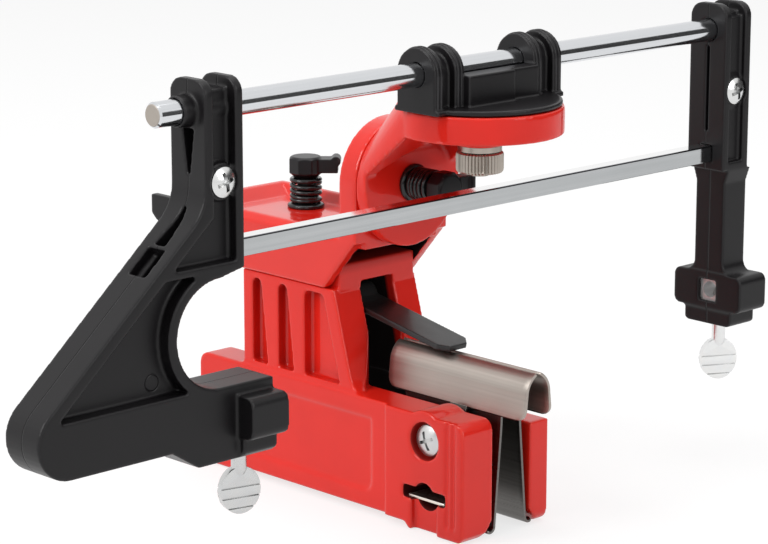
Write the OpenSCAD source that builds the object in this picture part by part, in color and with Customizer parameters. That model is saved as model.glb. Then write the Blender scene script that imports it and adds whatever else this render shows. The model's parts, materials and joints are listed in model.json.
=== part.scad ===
// Bar-mounted chainsaw sharpening jig, millimetres.
// X runs along the guide bar to the front, Y along the file, Z up.
// The origin is the mouth of the guide-bar slot, straight below the guide rod.

/* [Guide rod] */
// Diameter of the round guide rod
rod_d = 8; // [6:0.5:10]
// Height of the rod's axis above the angle plate
rod_z = 13; // [9:0.1:21]
// Length of rod that stands out of the left post
rod_tail = 13.7; // [8:0.1:22]
// Depth of the rod's seat in the right post
rod_seat = 11; // [8:0.5:12]
// Chamfer on the rod's ends
rod_chamfer = 0.8; // [0.4:0.1:1.5]

/* [File frame] */
// Clear span between the two posts
span = 226.9; // [210:0.1:250]
// Middle of that span along the rod
frame_y = 2.85; // [-6:0.05:6]
// Half of the frame's thickness, one moulded half
half_t = 8.3; // [8:0.1:10]
// Width of the left post along the rod
left_post_w = 15; // [13:0.1:17]
// Width of the right post along the rod
right_post_w = 14; // [13:0.1:16]
// Height of the posts above the rod's axis
post_top = 9.6; // [8:0.1:12]
// Corner radius of the posts' tops
lobe_r = 5; // [3:0.1:7]
// Width of the raised rim round each moulded half
rim_w = 3.2; // [2.4:0.1:3.6]
// Width of the rim along the handle's spine
spine_rim = 4.5; // [3.5:0.1:5.5]
// Depth of the recess in the posts
recess_d = 4; // [2.5:0.1:4.5]
// Depth of the recess in the handle's web
web_recess_d = 5; // [3:0.1:5.6]
// Width of the slit along the parting plane
slit_w = 5.2; // [1.5:0.1:6]
// Depth of that slit
slit_d = 4.5; // [2:0.1:6]
// Side of the square tie bar
bar_s = 6; // [5:0.1:7]
// Drop from the rod's axis to the tie bar's axis
bar_drop = 44.6; // [42:0.1:46]
// Depth of the tie bar's seat in each post
bar_seat = 9; // [6:0.1:10]
// Drop from the rod's axis to the file's axis
file_drop = 96; // [95:0.1:100]

/* [Handle] */
// How far the handle's round nose reaches out from the left post
nose_reach = 64.8; // [56:0.1:72]
// Radius of that nose
nose_r = 11.8; // [9:0.1:14]
// Drop from the rod's axis to the handle's lower edge
handle_drop = 102.9; // [100.5:0.1:104]
// Drop from the rod's axis to the bend of the spine
bend_drop = 29.3; // [26:0.1:32]
// Height of the solid band along the handle's lower edge
band_h = 17.8; // [15:0.1:20]
// Drop from the rod's axis to the lower end of the left post
heel_drop = 49.2; // [48.4:0.1:50]
// Radius of the finger gap
finger_r = 17.2; // [16:0.1:18]
// Drop from the rod's axis to the middle of the finger gap
finger_drop = 68.5; // [67.5:0.1:70]
// Length of the solid arm that carries the left file clamp
arm_l = 15.2; // [13:0.1:18]
// Height of that arm
arm_h = 23.7; // [22:0.1:25]

/* [File clamps] */
// Radius of the file sockets
file_r = 3; // [2.4:0.1:3.4]
// Length of a clamp head along the file
head_l = 15; // [13:0.1:18]
// Half of a clamp head's thickness
head_t = 15.5; // [13:0.1:17]
// Height of a clamp head
head_h = 13.5; // [12:0.1:15]
// Half thickness of the narrow foot below a head
foot_t = 10.7; // [8:0.1:12]
// Height of that foot
foot_h = 5.8; // [4:0.1:8]
// Offset of the right clamp's head from its post's inner face
right_head_set = 2.7; // [0:0.1:4]
// Offset of the left clamp's head from its post's inner face
left_head_set = 11.1; // [9:0.1:14]
// Side of the steel ferrule inside each head
ferrule_s = 10; // [8.5:0.1:11]
// Radius of the thumb screws' thread
thumb_r = 2.5; // [2:0.1:3]
// Length of thread below the clamp's foot
thumb_neck = 6.4; // [3:0.1:8]
// Width of the thumb screw's wing
wing_w = 13.8; // [12:0.1:17]
// Height of the wing
wing_h = 15.5; // [13:0.1:18]
// Thickness of the wing
wing_t = 3; // [2:0.1:4]

/* [Guide holder] */
// Half of the holder's length along the rod
holder_half = 29.9; // [28:0.1:34]
// Length of one pair of ears
ear_pair_l = 13.6; // [12:0.1:16]
// Radius of the ears round the rod
ear_r = 8.8; // [8:0.1:9.8]
// Width of the groove between the two ears of a pair
ear_groove_w = 5; // [3:0.1:6]
// Radius of the core between the ears
ear_core_r = 6; // [5.6:0.1:7]
// Radius of the holder's round base
holder_base_r = 27.3; // [24:0.1:27.8]
// Thickness of that base
holder_base_h = 1.8; // [1.4:0.1:3]

/* [Tilt arm] */
// Height of the tilt axis above the feet
tilt_z = 113; // [112:0.1:115]
// Radius of the tilt disc and of the saddle's ear
tilt_r = 22; // [20:0.1:23.5]
// Thickness of the tilt disc
tilt_t = 5.2; // [4.5:0.1:6]
// Thickness of the saddle's ear
ear_t = 8.3; // [6:0.1:10]
// Radius of the round angle plate
plate_r = 28; // [25:0.1:31]
// Thickness of the angle plate
plate_h = 9.3; // [7:0.1:10.5]
// Height of the plate's upper face above the tilt axis
plate_z = 31; // [28:0.1:36]
// Radius of the hollow under the arm, round the tilt bolt
hollow_r = 18.3; // [16:0.1:19]
// Height where the arm's lower edges leave the tilt disc
slope_z = 118; // [116:0.1:122]

/* [Angle nut] */
// Radius of the knurled nut
nut_r = 8; // [7:0.1:9.5]
// Height of the knurled nut
nut_h = 7; // [5:0.1:7.5]
// Number of its knurl grooves
nut_grooves = 28; // [12:1:36]
// Radius of the swivel stud
stud_r = 3; // [2.5:0.1:4]

/* [Clamp levers] */
// Radius of the clamp bolts
bolt_r = 3; // [2.5:0.1:3.5]
// Radius of the washers
washer_r = 6.6; // [6:0.1:8]
// Thickness of the washers
washer_h = 2; // [1.5:0.1:3]
// Mean radius of the springs' coils
coil_r = 5.2; // [4.4:0.1:5.4]
// Diameter of the springs' wire
wire_d = 1.2; // [1:0.1:1.2]
// Number of curls in a spring
curls = 3; // [2:1:3]
// Space between a washer and its lever's head
spring_l = 8.8; // [8.6:0.1:9.4]
// Width of a lever's head across its flats
lever_w = 11.5; // [10:0.1:13]
// Height of a lever's head
lever_h = 7.6; // [6.6:0.1:8.2]
// Reach of a lever's tail from its axis
lever_reach = 12.5; // [10:0.1:14]
// Width of a lever's tail
tail_w = 7.4; // [4:0.1:8]

/* [Saddle] */
// Half width of the saddle over its skirts
saddle_half = 22; // [21.6:0.1:24]
// Height of the saddle's crown above the feet
saddle_z = 96.4; // [95:0.1:97]
// Height of the saddle's upper side edges
eave_z = 94; // [92:0.1:94.6]
// Height of the skirts' lower edges
skirt_z = 75.8; // [75:0.1:78]
// Front edge of the skirts at the top
skirt_front = -38; // [-40:0.1:-36]
// How far the skirts' front edges slope back to the bottom
skirt_slope = 15.5; // [10:0.1:18]
// Rear end of the saddle
saddle_rear = -115; // [-120:0.5:-108]
// Place of the saddle's clamp bolt
saddle_bolt_x = -86; // [-90:0.1:-82]
// Half width of the saddle's crown
crown_half = 19.6; // [16:0.1:20.5]
// Height of the raised lip at the saddle's rear and far side
lip_h = 3.6; // [2:0.1:5]

/* [Tower] */
// Near side of the tower, measured from the slot's middle
tower_near = 20.5; // [19:0.1:21.5]
// Far side of the tower, measured from the slot's middle
tower_far = 18.8; // [18.2:0.1:20]
// Rear face of the tower
tower_rear = -97; // [-104:0.5:-96]
// Front face of the tower at its top
tower_front = -50; // [-52:0.1:-48]
// How far the front face leans forward down to the jaws
tower_lean = 8; // [6:0.1:11]
// Height of the tower's shoulders
shoulder_z = 75.4; // [74:0.1:75.7]
// Half width of the slide rail on top of the tower
rail_half = 17.7; // [16:0.1:18.5]
// Height of the slide rail's top
rail_z = 84; // [82.5:0.1:85]
// Half width of the chain tunnel
tunnel_half = 7.7; // [7:0.1:8.5]
// Height of the chain tunnel's ceiling
tunnel_z = 76.7; // [76:0.1:78]
// Number of grooves in each side of the tower
grooves = 3; // [1:1:4]
// Width of a groove at its foot
groove_w = 7.8; // [7:0.1:10]
// Width of a groove at its head
groove_top_w = 4.6; // [3:0.1:6]
// Depth of a groove
groove_d = 4; // [2:0.1:6]
// Pitch of the grooves
groove_pitch = 13.6; // [10:0.1:14.5]

/* [Jaws] */
// Half width of the guide-bar slot
slot_half = 9; // [8:0.1:10]
// Outer face of the near jaw, measured from the slot's middle
near_out = 23.5; // [21.5:0.1:26]
// Outer face of the far jaw, measured from the slot's middle
far_out = 17.8; // [16:0.1:22]
// Front face of the jaws
jaw_front = 16; // [12:0.1:20]
// Rear face of the jaws
jaw_rear = -120; // [-128:0.5:-112]
// Height of the far jaw
far_z = 36; // [34:0.1:39]
// Height of the near jaw
near_z = 41; // [39:0.1:41.2]
// How far the near jaw's front stands out from its side
side_step = 1.6; // [0.8:0.1:2.2]
// Depth of the relief under the jaws between their feet
foot_relief = 2; // [1:0.1:3]
// Place of the jaw screws and keyholes along the bar
jaw_screw_x = -2.5; // [-6:0.1:0]
// Height of the jaw screws
jaw_screw_z = 32; // [30:0.1:33]
// Radius of the jaw screws' heads
jaw_head_r = 5.3; // [4.4:0.1:6]
// Radius of the counterbores round them
counterbore_r = 6.6; // [6.2:0.1:7.5]
// Height of the keyholes
keyhole_z = 12.5; // [11:0.1:14]

/* [Steel fittings] */
// Thickness of the bar springs and the chain plates
sheet_t = 1; // [0.8:0.1:1.2]
// Half gap between the bar springs at the jaws' tops
spring_top = 4.6; // [4:0.1:5]
// Half gap between the bar springs at the feet
spring_foot = 7.4; // [6.8:0.1:7.6]
// Rear end of the bar springs
spring_rear = -30; // [-36:0.5:-24]
// Width of the tab that hooks each spring into its keyhole
tab_w = 17; // [12:0.1:19]
// Height of the chain plates' ridge
ridge_z = 57; // [56:0.1:57.6]
// Height of the chain plates' lower edges
eaves_z = 41.4; // [41:0.1:43]
// Half width of the chain plates at those edges
eaves_half = 6.3; // [5.8:0.1:6.8]
// Front end of the chain plates
plates_front = 28; // [24:0.5:32]
// Rear end of the chain plates
plates_rear = -37; // [-39:0.5:-28]
// Place of the pawl's pin along the bar
pawl_x = -60; // [-64:0.1:-57]
// Height of the pawl's pin
pawl_z = 68.5; // [67:0.1:71]
// Radius of the pawl's pin
pawl_pin_r = 2; // [1.5:0.1:2.2]
// Place of the pawl's tip along the bar
pawl_tip = -9.5; // [-16:0.5:-6]
// Half width of the pawl
pawl_half = 7; // [5:0.1:7]
// Thickness of the pawl
pawl_t = 2; // [1.5:0.1:2.5]

/* [Hidden] */
$fn = 64;

red = "#d8322a";
black = "#2b2a2c";
chrome = "#c9cdd0";
steel = "#b3a9a0";
zinc = "#dfe3e4";

run_c = 0.06;         // radial clearance of a shaft that turns or slides
seat_c = 0.02;        // clearance of a fixed piece in its seat
face_c = 0.3;         // gap between faces that move past each other
eps = 0.01;
past = 1;             // how far a cut runs past the face it opens

rod_r = rod_d / 2;
plate_top = tilt_z + plate_z;
rod_high = plate_top + rod_z;
bar_z = rod_high - bar_drop;
file_z = rod_high - file_drop;
left_in = frame_y - span / 2;
right_in = frame_y + span / 2;
left_out = left_in - left_post_w;
right_out = right_in + right_post_w;
posts_z = rod_high + post_top;
screw_drop = 22;      // frame screws below the rod's axis
screw_z = rod_high - screw_drop;
screw_set = 1.6;      // depth of a frame screw's seat below the rims
left_screw_y = left_in - left_post_w / 2;
right_screw_y = right_in + right_post_w / 2;
boss_l = 5;           // collar round the rod on the left post
boss_r = rod_r + 0.9;

left_head_y = left_in + left_head_set;
right_head_y = right_in + right_head_set;
left_clamp_y = left_head_y - head_l / 2;
right_clamp_y = right_head_y + head_l / 2;
head_low = file_z - head_h / 2;
foot_low = head_low - foot_h;
thumb_tip = file_z - file_r - 0.6;
wing_z = foot_low - thumb_neck - wing_h / 2;

handle_low = rod_high - handle_drop;
bend_z = rod_high - bend_drop;
heel_z = rod_high - heel_drop;
finger_z = rod_high - finger_drop;
finger_y = left_in - 9.8;
arm_high = finger_z - finger_r;
arm_low = arm_high - arm_h;
arm_step = 10.3;      // length of the slope from the handle's edge down to the arm
arm_back = left_head_y - head_l - arm_l;

holder_low = plate_top + face_c;
holder_top = rod_high - 0.5;
plate_low = plate_top - plate_h;
plate_boss_r = 8.4;
plate_boss_h = 4.3;
angle_washer_h = 1.8;
angle_washer_z = plate_low - plate_boss_h - angle_washer_h;
nut_z = angle_washer_z - face_c - nut_h;
stud_low = nut_z - 1.2;

ear_front = skirt_front + 0.8;
ear_back = ear_front - ear_t;
disc_back = ear_front + face_c;
disc_front = disc_back + tilt_t;
tilt_head_x = disc_front + washer_h + spring_l;
saddle_head_z = saddle_z + washer_h + spring_l;
gusset_front = -8;

slide_back = 10;      // travel of the saddle behind its place
slide_fore = 8;       // travel of the saddle in front of its place
slide_nut_s = 12;
slide_nut_h = 5;

sheet_h = sheet_t / 2;
pawl_tip_z = ridge_z + sheet_h + 0.6 + pawl_t / 2;
shank_r = 2;
frame_head_r = 4.7;
head_room = 0.7;      // room round a frame screw's head

// Points of an arc, from angle a to angle b in n steps
function arc(c, r, a, b, n = 12) =
  [for (i = [0 : n]) c + r * [cos(a + (b - a) * i / n), sin(a + (b - a) * i / n)]];
function unit(v) = v / norm(v);
function turn_left(v) = [-v[1], v[0]];
// Corner of a band of half width d at point b between points a and c
function mitre(a, b, c, d) =
  let (u = unit(b - a), v = unit(c - b), m = unit(turn_left(u) + turn_left(v)))
  b + m * d / (m * turn_left(u));
// Line of points shifted sideways by d
function shifted(p, d) =
  let (n = len(p))
  [for (i = [0 : n - 1])
    i == 0 ? p[0] + d * turn_left(unit(p[1] - p[0])) :
    i == n - 1 ? p[n - 1] + d * turn_left(unit(p[n - 1] - p[n - 2])) :
    mitre(p[i - 1], p[i], p[i + 1], d)];
// Closed outline of a bent sheet whose middle line is p
function ribbon(p, t) =
  let (a = shifted(p, t / 2), b = shifted(p, -t / 2), n = len(p))
  concat(a, [for (i = [n - 1 : -1 : 0]) b[i]]);
// An outline in Y and Z, drawn out along X
module plate_yz(p, x0, x1) {
  translate([x0, 0, 0]) rotate([90, 0, 90]) linear_extrude(x1 - x0) polygon(p);
}
// An outline in X and Z, drawn out along Y
module plate_xz(p, y0, y1) {
  translate([0, y1, 0]) rotate([90, 0, 0]) linear_extrude(y1 - y0) polygon(p);
}
module box(a, b) {
  translate(a) cube(b - a);
}
module along_x(r, x0, x1, y, z) {
  translate([x0, y, z]) rotate([0, 90, 0]) cylinder(r = r, h = x1 - x0);
}
module along_y(r, y0, y1, x, z) {
  translate([x, y0, z]) rotate([-90, 0, 0]) cylinder(r = r, h = y1 - y0);
}
module mirror_y() {
  children();
  mirror([0, 1, 0]) children();
}
// Base: two jaws over the guide bar, and the tower that bridges them
foot_l = 18;
foot_front = jaw_screw_x - 7.5;
jaw_r = 4;
near_profile = concat(
  [[jaw_rear, 0], [jaw_rear + foot_l, 0], [jaw_rear + foot_l + foot_relief, foot_relief],
   [foot_front - foot_relief, foot_relief], [foot_front, 0], [jaw_front - jaw_r / 2, 0],
   [jaw_front, jaw_r / 2]],
  arc([jaw_front - jaw_r, near_z - jaw_r], jaw_r, 0, 90),
  arc([jaw_rear + jaw_r, near_z - jaw_r], jaw_r, 90, 180));
far_profile = concat(
  [[jaw_rear, 0], [jaw_rear + foot_l, 0], [jaw_rear + foot_l + foot_relief, foot_relief],
   [foot_front - foot_relief, foot_relief], [foot_front, 0]],
  arc([jaw_front - jaw_r, jaw_r], jaw_r, -90, 0),
  [[jaw_front, far_z]],
  arc([jaw_rear + jaw_r, far_z - jaw_r], jaw_r, 90, 180));
tower_foot = tower_front + tower_lean;
flare_r = 7;
flare_a = 180 + atan(tower_lean / (shoulder_z - near_z));
tower_profile = concat(
  [[tower_rear, far_z - jaw_r], [tower_foot + flare_r, far_z - jaw_r]],
  arc([tower_foot + flare_r, near_z + flare_r], flare_r, 270, flare_a),
  [[tower_front, shoulder_z], [tower_rear, shoulder_z]]);
rail_front = tower_front + 0.6;
step_x = jaw_screw_x - 19;
bump_r = 10.6;        // round swelling of the near jaw about its screw
keyhole_half = tab_w / 2 + 1.6;
keyhole_h = 4.4;
keyhole_low = keyhole_z - 1.7;
keyhole_r = 4.9;
head_h_jaw = 3;
counterbore_d = 3.8;
channel_d = 2.4;
panel_d = 0.9;
panel_r = 4;
curl_room = 2.8;      // room beyond the bar spring's curl, in the bevel under each jaw's inner edge
bevel_high = 7;       // height of that bevel in the slot
funnel_top = 66;
funnel_d = 3.5;
groove_low = near_z + 1.5;
groove_high = shoulder_z - 2.4;
groove_set = 14.9;    // rear edge of the first groove behind the tower's front
front_column = 4.9;   // what the first, wide groove leaves of the tower's front
groove_r = groove_top_w / 2;
panel_low = 8;
panel_high = far_z - 1.6;
panel_front = step_x - 8;
fine_groove_r = 0.9;
pin_seat = 6;         // depth of the pawl pin's holes

module jaw_cuts(out) {
  // counterbore, keyhole and channel, drawn for a jaw whose outer face is at Y = -out
  along_y(counterbore_r, -out - past, -out + counterbore_d, jaw_screw_x, jaw_screw_z);
  along_y(shank_r + seat_c, -out, -slot_half + past, jaw_screw_x, jaw_screw_z);
  box([jaw_screw_x - keyhole_half, -out - past, keyhole_low],
      [jaw_screw_x + keyhole_half, -slot_half + past, keyhole_low + keyhole_h]);
  along_y(keyhole_r, -out - past, -slot_half + past, jaw_screw_x, keyhole_z);
  box([jaw_screw_x - keyhole_r - 1, -out - past, -past],
      [jaw_screw_x + keyhole_r + 1, -out + channel_d, keyhole_z]);
}
module tower_groove(x, foot, top, side) {
  // one groove, upright at its rear edge and slanted at its front edge, with a round top
  plate_xz(concat([[x, groove_low], [x + foot, groove_low]],
    arc([x + top - groove_r, groove_high - groove_r], groove_r, 0, 90),
    arc([x + groove_r, groove_high - groove_r], groove_r, 90, 180)), -side - past, -side + groove_d);
}
module jaw_groove(x) {
  translate([x, -near_out, jaw_r]) cylinder(r = fine_groove_r, h = near_z);
}
module base_casting() {
  color(red) difference() {
    union() {
      difference() {
        plate_xz(near_profile, -near_out, -slot_half);
        box([jaw_rear - past, -near_out - past, -past], [step_x, -near_out + side_step, near_z + past]);
      }
      along_y(bump_r, -near_out, -slot_half, jaw_screw_x, jaw_screw_z);
      plate_xz(far_profile, slot_half, far_out);
      plate_xz(tower_profile, -tower_near, tower_far);
      box([tower_rear, -rail_half, shoulder_z - past], [rail_front, rail_half, rail_z]);
    }
    // guide-bar slot below, chain tunnel above
    box([jaw_rear - past, -slot_half, -past], [jaw_front + past, slot_half, near_z + eps]);
    box([tower_rear - past, -tunnel_half, far_z], [jaw_front, tunnel_half, tunnel_z]);
    // funnel faces beside the tunnel's mouth
    for (s = [-1, 1]) translate([0, 0, near_z]) linear_extrude(funnel_top - near_z)
      polygon([[tower_front - funnel_d, 0], [tower_foot - funnel_d, s * tunnel_half],
               [tower_foot + flare_r, s * (s < 0 ? tower_near : tower_far)], [tower_foot + 2 * flare_r, 0]]);
    for (i = [0 : grooves - 1]) {
      x = tower_front - groove_set - i * groove_pitch;
      foot = i > 0 ? groove_w : groove_set + tower_lean - front_column;
      top = i > 0 ? groove_top_w + eps : groove_set - front_column;
      tower_groove(x, foot, top, tower_near);
      mirror([0, 1, 0]) tower_groove(x, foot, top, tower_far);
    }
    jaw_cuts(near_out);
    mirror([0, 1, 0]) jaw_cuts(far_out);
    mirror_y() plate_yz([[slot_half - past, -past], [spring_foot + 2 * curl_r + curl_room, -past],
                         [slot_half - past, bevel_high]], jaw_rear - past, jaw_front + past);
    // long shallow panel and two upright grooves in the near jaw
    plate_xz(concat([[tower_rear, panel_low]],
      arc([panel_front - panel_r, panel_low + panel_r], panel_r, 270, 360),
      [[panel_front, panel_high], [tower_rear, panel_high]]),
      -near_out - past, -near_out + side_step + panel_d);
    for (d = [4.6, 7.4]) jaw_groove(jaw_front - d);
    // slot for the saddle's bolt, and the pawl's pin
    box([saddle_bolt_x - slide_back - bolt_r - face_c, -bolt_r - face_c, tunnel_z - past],
        [saddle_bolt_x + slide_fore + bolt_r + face_c, bolt_r + face_c, rail_z + past]);
    along_y(pawl_pin_r + seat_c, -tunnel_half - pin_seat, tunnel_half + pin_seat, pawl_x, pawl_z);
  }
}

// Bar springs: bent strips that grip the guide bar, hooked into the keyholes by a tab
curl_r = 1.9;
curl_c = [-spring_foot - curl_r, 3];
tab_set = 1.6;        // how far a tab's end stays inside its jaw
spring_line = concat(
  [[-spring_top + 0.3, eaves_z], [-spring_top, far_z]],
  [[-spring_foot, 3.6]],
  arc(curl_c, curl_r, 345, 215, 6));
module bar_spring(out) {
  color(steel) {
    plate_yz(ribbon(spring_line, sheet_t), spring_rear, jaw_front - 0.5);
    box([jaw_screw_x - tab_w / 2, -out + tab_set, keyhole_low],
        [jaw_screw_x + tab_w / 2, -spring_foot + 0.4, keyhole_low + sheet_t]);
  }
}
module near_bar_spring() {
  bar_spring(near_out);
}
module far_bar_spring() {
  mirror([0, 1, 0]) bar_spring(far_out);
}

// Chain plates: a roof of two bent sheets, each with a strap screwed to its jaw
ridge_half = 0.9;
roof_r = 8;           // bend from the ridge to the plate's side
roof_half = eaves_half - 1;
roof_set = roof_r - roof_half + ridge_half;
roof_c = [roof_r - roof_half, ridge_z - sqrt(pow(roof_r, 2) - pow(roof_set, 2))];
plate_foot = [[-eaves_half + 0.5, eaves_z + 4], [-eaves_half, eaves_z]];
plate_line = concat(arc(roof_c, roof_r, acos(-roof_set / roof_r), 180, 6), plate_foot);
strap_half = 4;
strap_line = concat(plate_foot,
  [[-slot_half + sheet_h, eaves_z - 4], [-slot_half + sheet_h, jaw_screw_z - 6]]);
plate_round = 4;
module chain_plate() {
  color(steel) difference() {
    union() {
      intersection() {
        plate_yz(ribbon(plate_line, sheet_t), plates_rear, plates_front);
        plate_xz(concat(
          arc([plates_rear + plate_round, eaves_z + plate_round - 1], plate_round, 180, 270),
          arc([plates_front - plate_round, eaves_z + plate_round - 1], plate_round, 270, 360),
          [[plates_front, ridge_z + 3], [plates_rear, ridge_z + 3]]), -slot_half, 0);
      }
      plate_yz(ribbon(strap_line, sheet_t), jaw_screw_x - strap_half, jaw_screw_x + strap_half);
    }
    along_y(shank_r + seat_c, -slot_half - past, -slot_half + sheet_t + past, jaw_screw_x, jaw_screw_z);
  }
}
module near_chain_plate() {
  chain_plate();
}
module far_chain_plate() {
  mirror([0, 1, 0]) chain_plate();
}

// Cross-slot cut for a screw head that faces -Y
module cross_slot(w, t, d) {
  for (a = [0, 90])
    rotate([0, a, 0]) translate([-w / 2, -past, -t / 2]) cube([w, d + past, t]);
}
module jaw_screw(out) {
  color(zinc) difference() {
    union() {
      along_y(jaw_head_r, -out + counterbore_d - head_h_jaw, -out + counterbore_d, jaw_screw_x, jaw_screw_z);
      along_y(shank_r, -out + counterbore_d, -slot_half + sheet_t, jaw_screw_x, jaw_screw_z);
    }
    translate([jaw_screw_x, -out + counterbore_d - head_h_jaw, jaw_screw_z])
      cross_slot(jaw_head_r * 1.1, 1, 1.6);
  }
}
module jaw_screws() {
  jaw_screw(near_out);
  mirror([0, 1, 0]) jaw_screw(far_out);
}

// Pawl: flat stop that drops behind a tooth
module pawl_pin() {
  pin_half = tunnel_half + pin_seat - seat_c;
  color(zinc) along_y(pawl_pin_r, -pin_half, pin_half, pawl_x, pawl_z);
}
pawl_knuckle_r = pawl_pin_r + 2.2;
pawl_point = 3.6;
knuckle_half = pawl_half - 0.5;
blade_root = pawl_pin_r + 1.2;
module pawl() {
  reach = [pawl_tip - pawl_x, pawl_tip_z - pawl_z];
  color(black) difference() {
    union() {
      along_y(pawl_knuckle_r, -knuckle_half, knuckle_half, pawl_x, pawl_z);
      translate([pawl_x, 0, pawl_z]) rotate([0, -atan2(reach[1], reach[0]), 0])
        translate([0, 0, -pawl_t / 2]) linear_extrude(pawl_t)
          polygon([[blade_root, -pawl_half], [norm(reach) - pawl_point, -pawl_half],
                   [norm(reach), -pawl_half + 3], [norm(reach), pawl_half - 3],
                   [norm(reach) - pawl_point, pawl_half], [blade_root, pawl_half]]);
    }
    along_y(pawl_pin_r + run_c, -pawl_half - past, pawl_half + past, pawl_x, pawl_z);
  }
}

// Saddle: inverted channel that slides on the tower's rail and carries the ear
skirt_in = rail_half + face_c;
saddle_low = rail_z + face_c;
void_x = tower_front - 8;
lip_half = 15;
lip_w = 11;
lip_side_w = 6.5;
lip_l = 42;
lip_flat = 3;         // level top of the lips, before they slope in
rear_lip = [[saddle_rear, saddle_z - past], [saddle_rear + lip_w, saddle_z - past],
  [saddle_rear + lip_flat, saddle_z + lip_h], [saddle_rear, saddle_z + lip_h]];
side_lip = [[lip_half, saddle_z - past], [lip_half, saddle_z + lip_h],
  [lip_half - lip_flat, saddle_z + lip_h], [lip_half - lip_side_w, saddle_z - past]];
crown_section = [[-saddle_half, saddle_low], [saddle_half, saddle_low], [saddle_half, eave_z],
  [crown_half, saddle_z], [-crown_half, saddle_z], [-saddle_half, eave_z]];
skirt_profile = [[saddle_rear, skirt_z], [skirt_front - skirt_slope, skirt_z], [skirt_front, eave_z - 0.5],
  [skirt_front, eave_z], [saddle_rear, eave_z]];
ear_outline = concat([[-tilt_r, eave_z - 3]], [[tilt_r, eave_z - 3]], arc([0, tilt_z], tilt_r, 0, 180, 24));
module saddle_casting() {
  color(red) difference() {
    union() {
      plate_yz(crown_section, saddle_rear, skirt_front);
      mirror_y() plate_xz(skirt_profile, skirt_in, saddle_half);
      plate_yz(ear_outline, ear_back, ear_front);
      plate_xz(rear_lip, -lip_half - 1, lip_half);
      plate_yz(side_lip, saddle_rear, saddle_rear + lip_l);
    }
    // hollow under the front, behind the ear
    box([void_x, -skirt_in, saddle_low - past], [ear_front + past, skirt_in, eave_z - 3.2]);
    mirror_y() plate_xz([[skirt_front - skirt_slope, skirt_z], [skirt_front, eave_z - 0.5],
      [ear_front + past, eave_z - 0.5], [ear_front + past, skirt_z]], skirt_in - past, saddle_half + past);
    along_x(bolt_r + run_c, ear_back - past, ear_front + past, 0, tilt_z);
    translate([saddle_bolt_x, 0, saddle_low - past])
      cylinder(r = bolt_r + seat_c, h = saddle_z - saddle_low + 2 * past);
  }
}

// Clamp levers: bolt, washer, spring and a spring-loaded head with a tail
module washer(h) {
  difference() {
    union() {
      cylinder(r = washer_r, h = h * 0.6);
      translate([0, 0, h * 0.6]) cylinder(r1 = washer_r, r2 = washer_r - h * 0.4, h = h * 0.4);
    }
    translate([0, 0, -past]) cylinder(r = bolt_r + seat_c, h = h + 2 * past);
  }
}
// Compression spring as one tube: straight end, helix, straight end
curl_rings = 8;
tube_sides = 6;
spring_gap = 0.05;
coil_low = wire_d * 1.5 + spring_gap;
coil_high = spring_l - wire_d * 1.5 - spring_gap;
coil_points = [for (i = [0 : curls * curl_rings])
  let (a = 360 * i / curl_rings)
  [coil_r * cos(a), coil_r * sin(a), coil_low + (coil_high - coil_low) * i / (curls * curl_rings)]];
tube_points = concat([[coil_r, 0, spring_gap], [coil_r, 0, spring_gap + wire_d]], coil_points,
  [[coil_r, 0, spring_l - spring_gap - wire_d], [coil_r, 0, spring_l - spring_gap]]);
tube_n = len(tube_points);
// Middle of a bend leans the ring half way between the two runs
function tube_dir(i) =
  i <= 1 ? [0, 0, 1] :
  i >= tube_n - 2 ? [0, 0, 1] :
  unit(unit(tube_points[i] - tube_points[i - 1]) + unit(tube_points[i + 1] - tube_points[i]));
// Sides of a ring, measured from the coil's own axis so that no ring twists
function ring_out(i) =
  let (p = tube_points[i], o = unit([p[0], p[1], 0]), d = tube_dir(i))
  unit(o - d * (o * d));
tube_rings = [for (i = [0 : tube_n - 1])
  let (o = ring_out(i), s = cross(tube_dir(i), o))
  for (k = [0 : tube_sides - 1])
    tube_points[i] + wire_d / 2 * (o * cos(360 * k / tube_sides) + s * sin(360 * k / tube_sides))];
tube_faces = concat(
  [for (k = [1 : tube_sides - 2]) [0, k + 1, k]],
  [for (i = [0 : tube_n - 2], k = [0 : tube_sides - 1], h = [0, 1])
    let (a = i * tube_sides + k, b = i * tube_sides + (k + 1) % tube_sides)
    h == 0 ? [a, b, b + tube_sides] : [a, b + tube_sides, a + tube_sides]],
  [for (k = [1 : tube_sides - 2])
    [(tube_n - 1) * tube_sides, (tube_n - 1) * tube_sides + k, (tube_n - 1) * tube_sides + k + 1]]);
coil_gap = min([for (i = [0 : len(coil_points) - 1], j = [0 : len(coil_points) - 1])
  if (j - i >= curl_rings - 1) norm(coil_points[j] - coil_points[i]) - wire_d]);
echo(least_gap_of_spring_to_itself = coil_gap);
module coil_spring() {
  color(black) polyhedron(points = tube_rings, faces = tube_faces);
}
// Lever's head round the Z axis, tail along +X, foot at Z = 0
module lever_shape() {
  neck_r = lever_w / 2 - 0.9;
  tip_r = 1.8;
  color(black) difference() {
    union() {
      cylinder(r1 = neck_r - 0.8, r2 = lever_w / 2, h = 1.6);
      translate([0, 0, 1.6]) rotate(22.5)
        cylinder(r = lever_w / 2 / cos(22.5), h = lever_h - 2.2, $fn = 8);
      translate([0, 0, lever_h - 0.6]) cylinder(r1 = lever_w / 2, r2 = lever_w / 2 - 0.8, h = 0.6);
      translate([0, -tail_w / 2, 1.9]) cube([lever_reach - 1, tail_w, lever_h - 2.6]);
      translate([lever_reach - tip_r, tail_w / 2, lever_h - tip_r + 0.3]) rotate([90, 0, 0])
        cylinder(r = tip_r, h = tail_w);
    }
    translate([0, 0, -past]) cylinder(r = bolt_r + run_c, h = lever_h - 2 + past);
  }
}
lever_turn = 45;
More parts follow.
